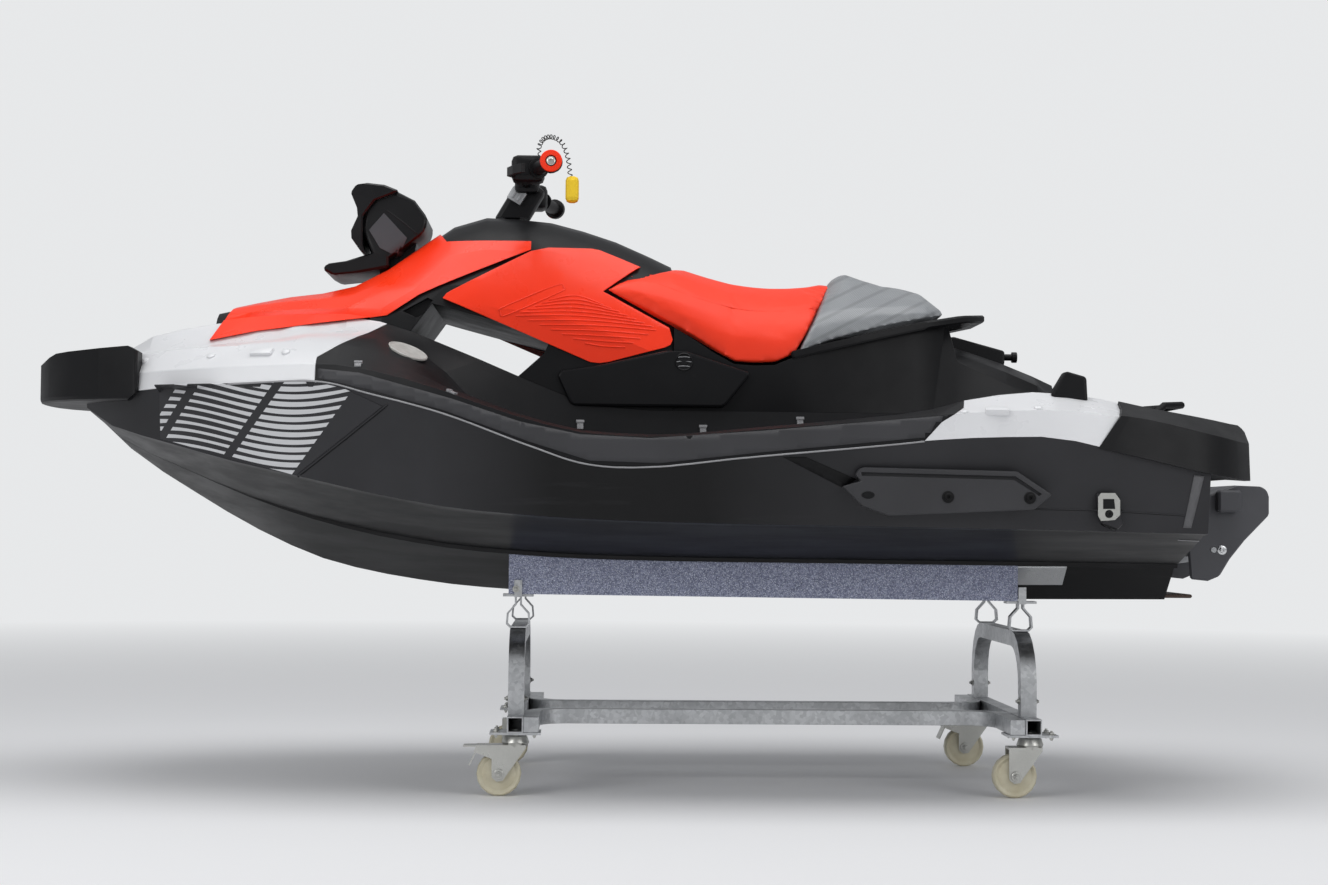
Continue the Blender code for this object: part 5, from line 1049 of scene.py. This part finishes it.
# steering details
gripEnd = {"x": -0.255, "z": 1.425, "ring": 0.024, "bolt": 0.0068,
           "profile": [(0.58, -0.10), (1.0, -0.30), (1.04, 0.0), (0.98, 0.10), (0.60, 0.14), (0.52, 0.06),
                       (0.52, -0.10), (0.58, -0.10)]}
redRing = fastener("ringPiece", gripEnd["profile"], 40)
for label, side in sides.items():
    low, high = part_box("grip_" + label.lower())
    end = [(Vector((gripEnd["x"], low[1] if side < 0 else high[1], gripEnd["z"])), (0, side, 0))]
    repeat("gripRing" + label, redRing, end, gripEnd["ring"], "fairingRed", "steering")
    repeat("gripBolt" + label, cap, end, gripEnd["bolt"], "zincPlate", "steering")
bpy.data.objects.remove(redRing)

# the clamp that holds the bar on its riser
clamp = {"pixel": (517, 196), "y": -0.036, "lean": 31, "size": (0.019, 0.010, 0.017), "bevel": 0.004,
         "slots": (-0.4, 0.4), "slotHalf": 0.003, "slotShare": 0.6}
shape = bmesh.new()
lean = Matrix.Rotation(math.radians(clamp["lean"]), 4, "Y")
lean = Matrix.Translation(planeSpot(clamp["pixel"], clamp["y"])) @ lean
width, depth, height = clamp["size"]
blockShape(shape, (-width, -depth, -height), (width, depth, height), clamp["bevel"], lean)
for slot in clamp["slots"]:
    middle, reach = slot * width, height * clamp["slotShare"]
    blockShape(shape, (middle - clamp["slotHalf"], -depth - 0.002, -reach),
               (middle + clamp["slotHalf"], -depth + 0.001, reach), 0.0008, lean)
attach(meshObject("barClamp", shape, looks["castAlloy"]), "steering")

# dolly fasteners
dolly = {"dolly_front_frame": {"x": -0.322, "straps": ((516, 577), (516, 589))},
         "dolly_rear_frame": {"x": 0.842, "straps": ((1012, 588), (1012, 600))}}
dollyBolts = {"leg": 0.0056, "legY": 0.31, "legHalf": 0.018, "legZ": 0.215, "plate": 0.0058, "nut": 0.8,
              "plateX": 0.043, "plateY": (-0.372, -0.312, 0.312, 0.372), "above": 0.30, "below": 0.05,
              "low": 0.12, "high": 0.2, "strap": 0.0052, "strapY": 0.15,
              "axle": 0.0075, "axleZ": 0.05, "axleOut": 0.12}


def addDollyBolts(d):
    legs, plates, straps = [], [], []
    down, up = Vector((0, 0, -1)), Vector((0, 0, 1))
    for node, part in dolly.items():
        for y in (-d["legY"], d["legY"]):
            for out in (-1, 1):
                legs.append(((part["x"] + out * d["legHalf"], y, d["legZ"]), (out, 0, 0), 20))
        for y in d["plateY"]:
            for out in (-1, 1):
                x = part["x"] + out * d["plateX"]
                hit = firstHit(Vector((x, y, d["above"])), down, [node])
                if hit and d["low"] < hit[0].z < d["high"]:
                    plates.append((hit[0], up, 15))
                    under = firstHit(Vector((x, y, d["below"])), up, [node])
                    if under and under[0].z > d["low"]:
                        plates.append((under[0], down, 0, d["nut"]))
        straps += [each for each in onBoth(part["straps"], node, 10) if abs(each[0].y) > d["strapY"]]
    repeat("legBolts", bolt, legs, d["leg"], "zincPlate")
    repeat("plateBolts", bolt, plates, d["plate"], "zincPlate")
    repeat("strapBolts", bolt, straps, d["strap"], "zincPlate")


def addAxleBolts(d, place):
    low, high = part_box("caster_wheel_" + place)
    x, y = (low[0] + high[0]) / 2, (low[1] + high[1]) / 2
    fork = "caster_fork_" + place
    hits = [(firstHit(Vector((x, y + side * d["axleOut"], d["axleZ"])), Vector((0, -side, 0)), [fork]), side)
            for side in (-1, 1)]
    spots = [(hit[0], (0, side, 0), 12) for hit, side in hits if hit]
    repeat(camel("axle_bolts_" + place), bolt, spots, d["axle"], "zincPlate", bodyOf[fork])


addDollyBolts(dollyBolts)
for place in ("front_port", "front_starboard", "rear_port", "rear_starboard"):
    addAxleBolts(dollyBolts, place)

# bucket fasteners
bucketFit = {"bolts": [(1222, 550)], "size": 0.0075}
spots = onBoth(bucketFit["bolts"], "reverse_bucket")
repeat("bucketBolts", cap, spots, bucketFit["size"], "millAlloy", "bucket")
for spare in (bolt, cap, dome, clip, padBlock, badgePiece, ring, ovalPlug):
    bpy.data.objects.remove(spare)
print("fasteners done")

# stage
stage = {"radius": 26.0, "floor": (0.86, 0.86, 0.87), "around": (0.80, 0.81, 0.82), "fade": (2.2, 9.0),
         "light": (0.95, 0.97, 1.0), "power": 0.42}


def addStage(g):
    shape = bmesh.new()
    bmesh.ops.create_circle(shape, cap_ends=True, segments=96, radius=g["radius"])
    mesh = bpy.data.meshes.new("studioFloor")
    shape.to_mesh(mesh)
    shape.free()
    f = Finish("studioPaper")
    tone = f.blend(f.noise(1.5, 2), g["floor"], tuple(c * 0.985 for c in g["floor"]))
    mesh.materials.append(f.set(colour=tone, roughness=0.6, specular=0.2))
    # far off, the floor turns into the pale surroundings
    far = f.add("ShaderNodeVectorMath", operation="LENGTH")
    f.join(f.coords, far.inputs[0])
    glow, mix, path = f.add("ShaderNodeEmission"), f.add("ShaderNodeMixShader"), f.add("ShaderNodeLightPath")
    glow.inputs["Color"].default_value = (*g["around"], 1.0)
    share = f.maths("MULTIPLY", f.spread(far.outputs["Value"], *g["fade"]), path.outputs["Is Camera Ray"])
    f.join(share, mix.inputs[0])
    f.join(f.shader.outputs[0], mix.inputs[1])
    f.join(glow.outputs[0], mix.inputs[2])
    f.join(mix.outputs[0], f.tree.nodes["Material Output"].inputs["Surface"])
    link(bpy.data.objects.new("studioFloor", mesh))


def addLamp(name, place, aim, size, power):
    data = bpy.data.lights.new(name, "AREA")
    data.shape = "RECTANGLE"
    data.size, data.size_y = size
    data.energy = power
    lamp = link(bpy.data.objects.new(name, data))
    lamp.location = place
    lamp.rotation_euler = (Vector(aim) - Vector(place)).to_track_quat("-Z", "Y").to_euler()


def addWorld(g):
    # camera and transmission rays see the pale surroundings, all others the soft light
    world = bpy.data.worlds.new("studioWorld")
    world.use_nodes = True
    tree = world.node_tree
    seen, light = tree.nodes.new("ShaderNodeBackground"), tree.nodes["Background"]
    light.inputs["Color"].default_value = (*g["light"], 1.0)
    light.inputs["Strength"].default_value = g["power"]
    seen.inputs["Color"].default_value = (*g["around"], 1.0)
    path, mix = tree.nodes.new("ShaderNodeLightPath"), tree.nodes.new("ShaderNodeMixShader")
    shown = tree.nodes.new("ShaderNodeMath")
    shown.operation = "ADD"
    shown.use_clamp = True
    for a, b in ((path.outputs["Is Camera Ray"], shown.inputs[0]),
                 (path.outputs["Is Transmission Ray"], shown.inputs[1]),
                 (shown.outputs[0], mix.inputs[0]), (light.outputs[0], mix.inputs[1]),
                 (seen.outputs[0], mix.inputs[2]),
                 (mix.outputs[0], tree.nodes["World Output"].inputs["Surface"])):
        tree.links.new(a, b)
    scene.world = world


addStage(stage)
lamps = {
    "topBox": ((0.0, -0.6, 4.2), (0, 0, 0.6), (5.0, 2.6), 105),
    "frontLeft": ((-3.4, -4.2, 2.6), (0, 0, 0.7), (2.6, 2.0), 62),
    "frontRight": ((3.6, -4.0, 2.2), (0, 0, 0.6), (2.6, 2.0), 42),
}
for name, (place, aim, size, power) in lamps.items():
    addLamp(name, place, aim, size, power)
addWorld(stage)
scene.view_settings.view_transform = "Standard"
print("stage done")
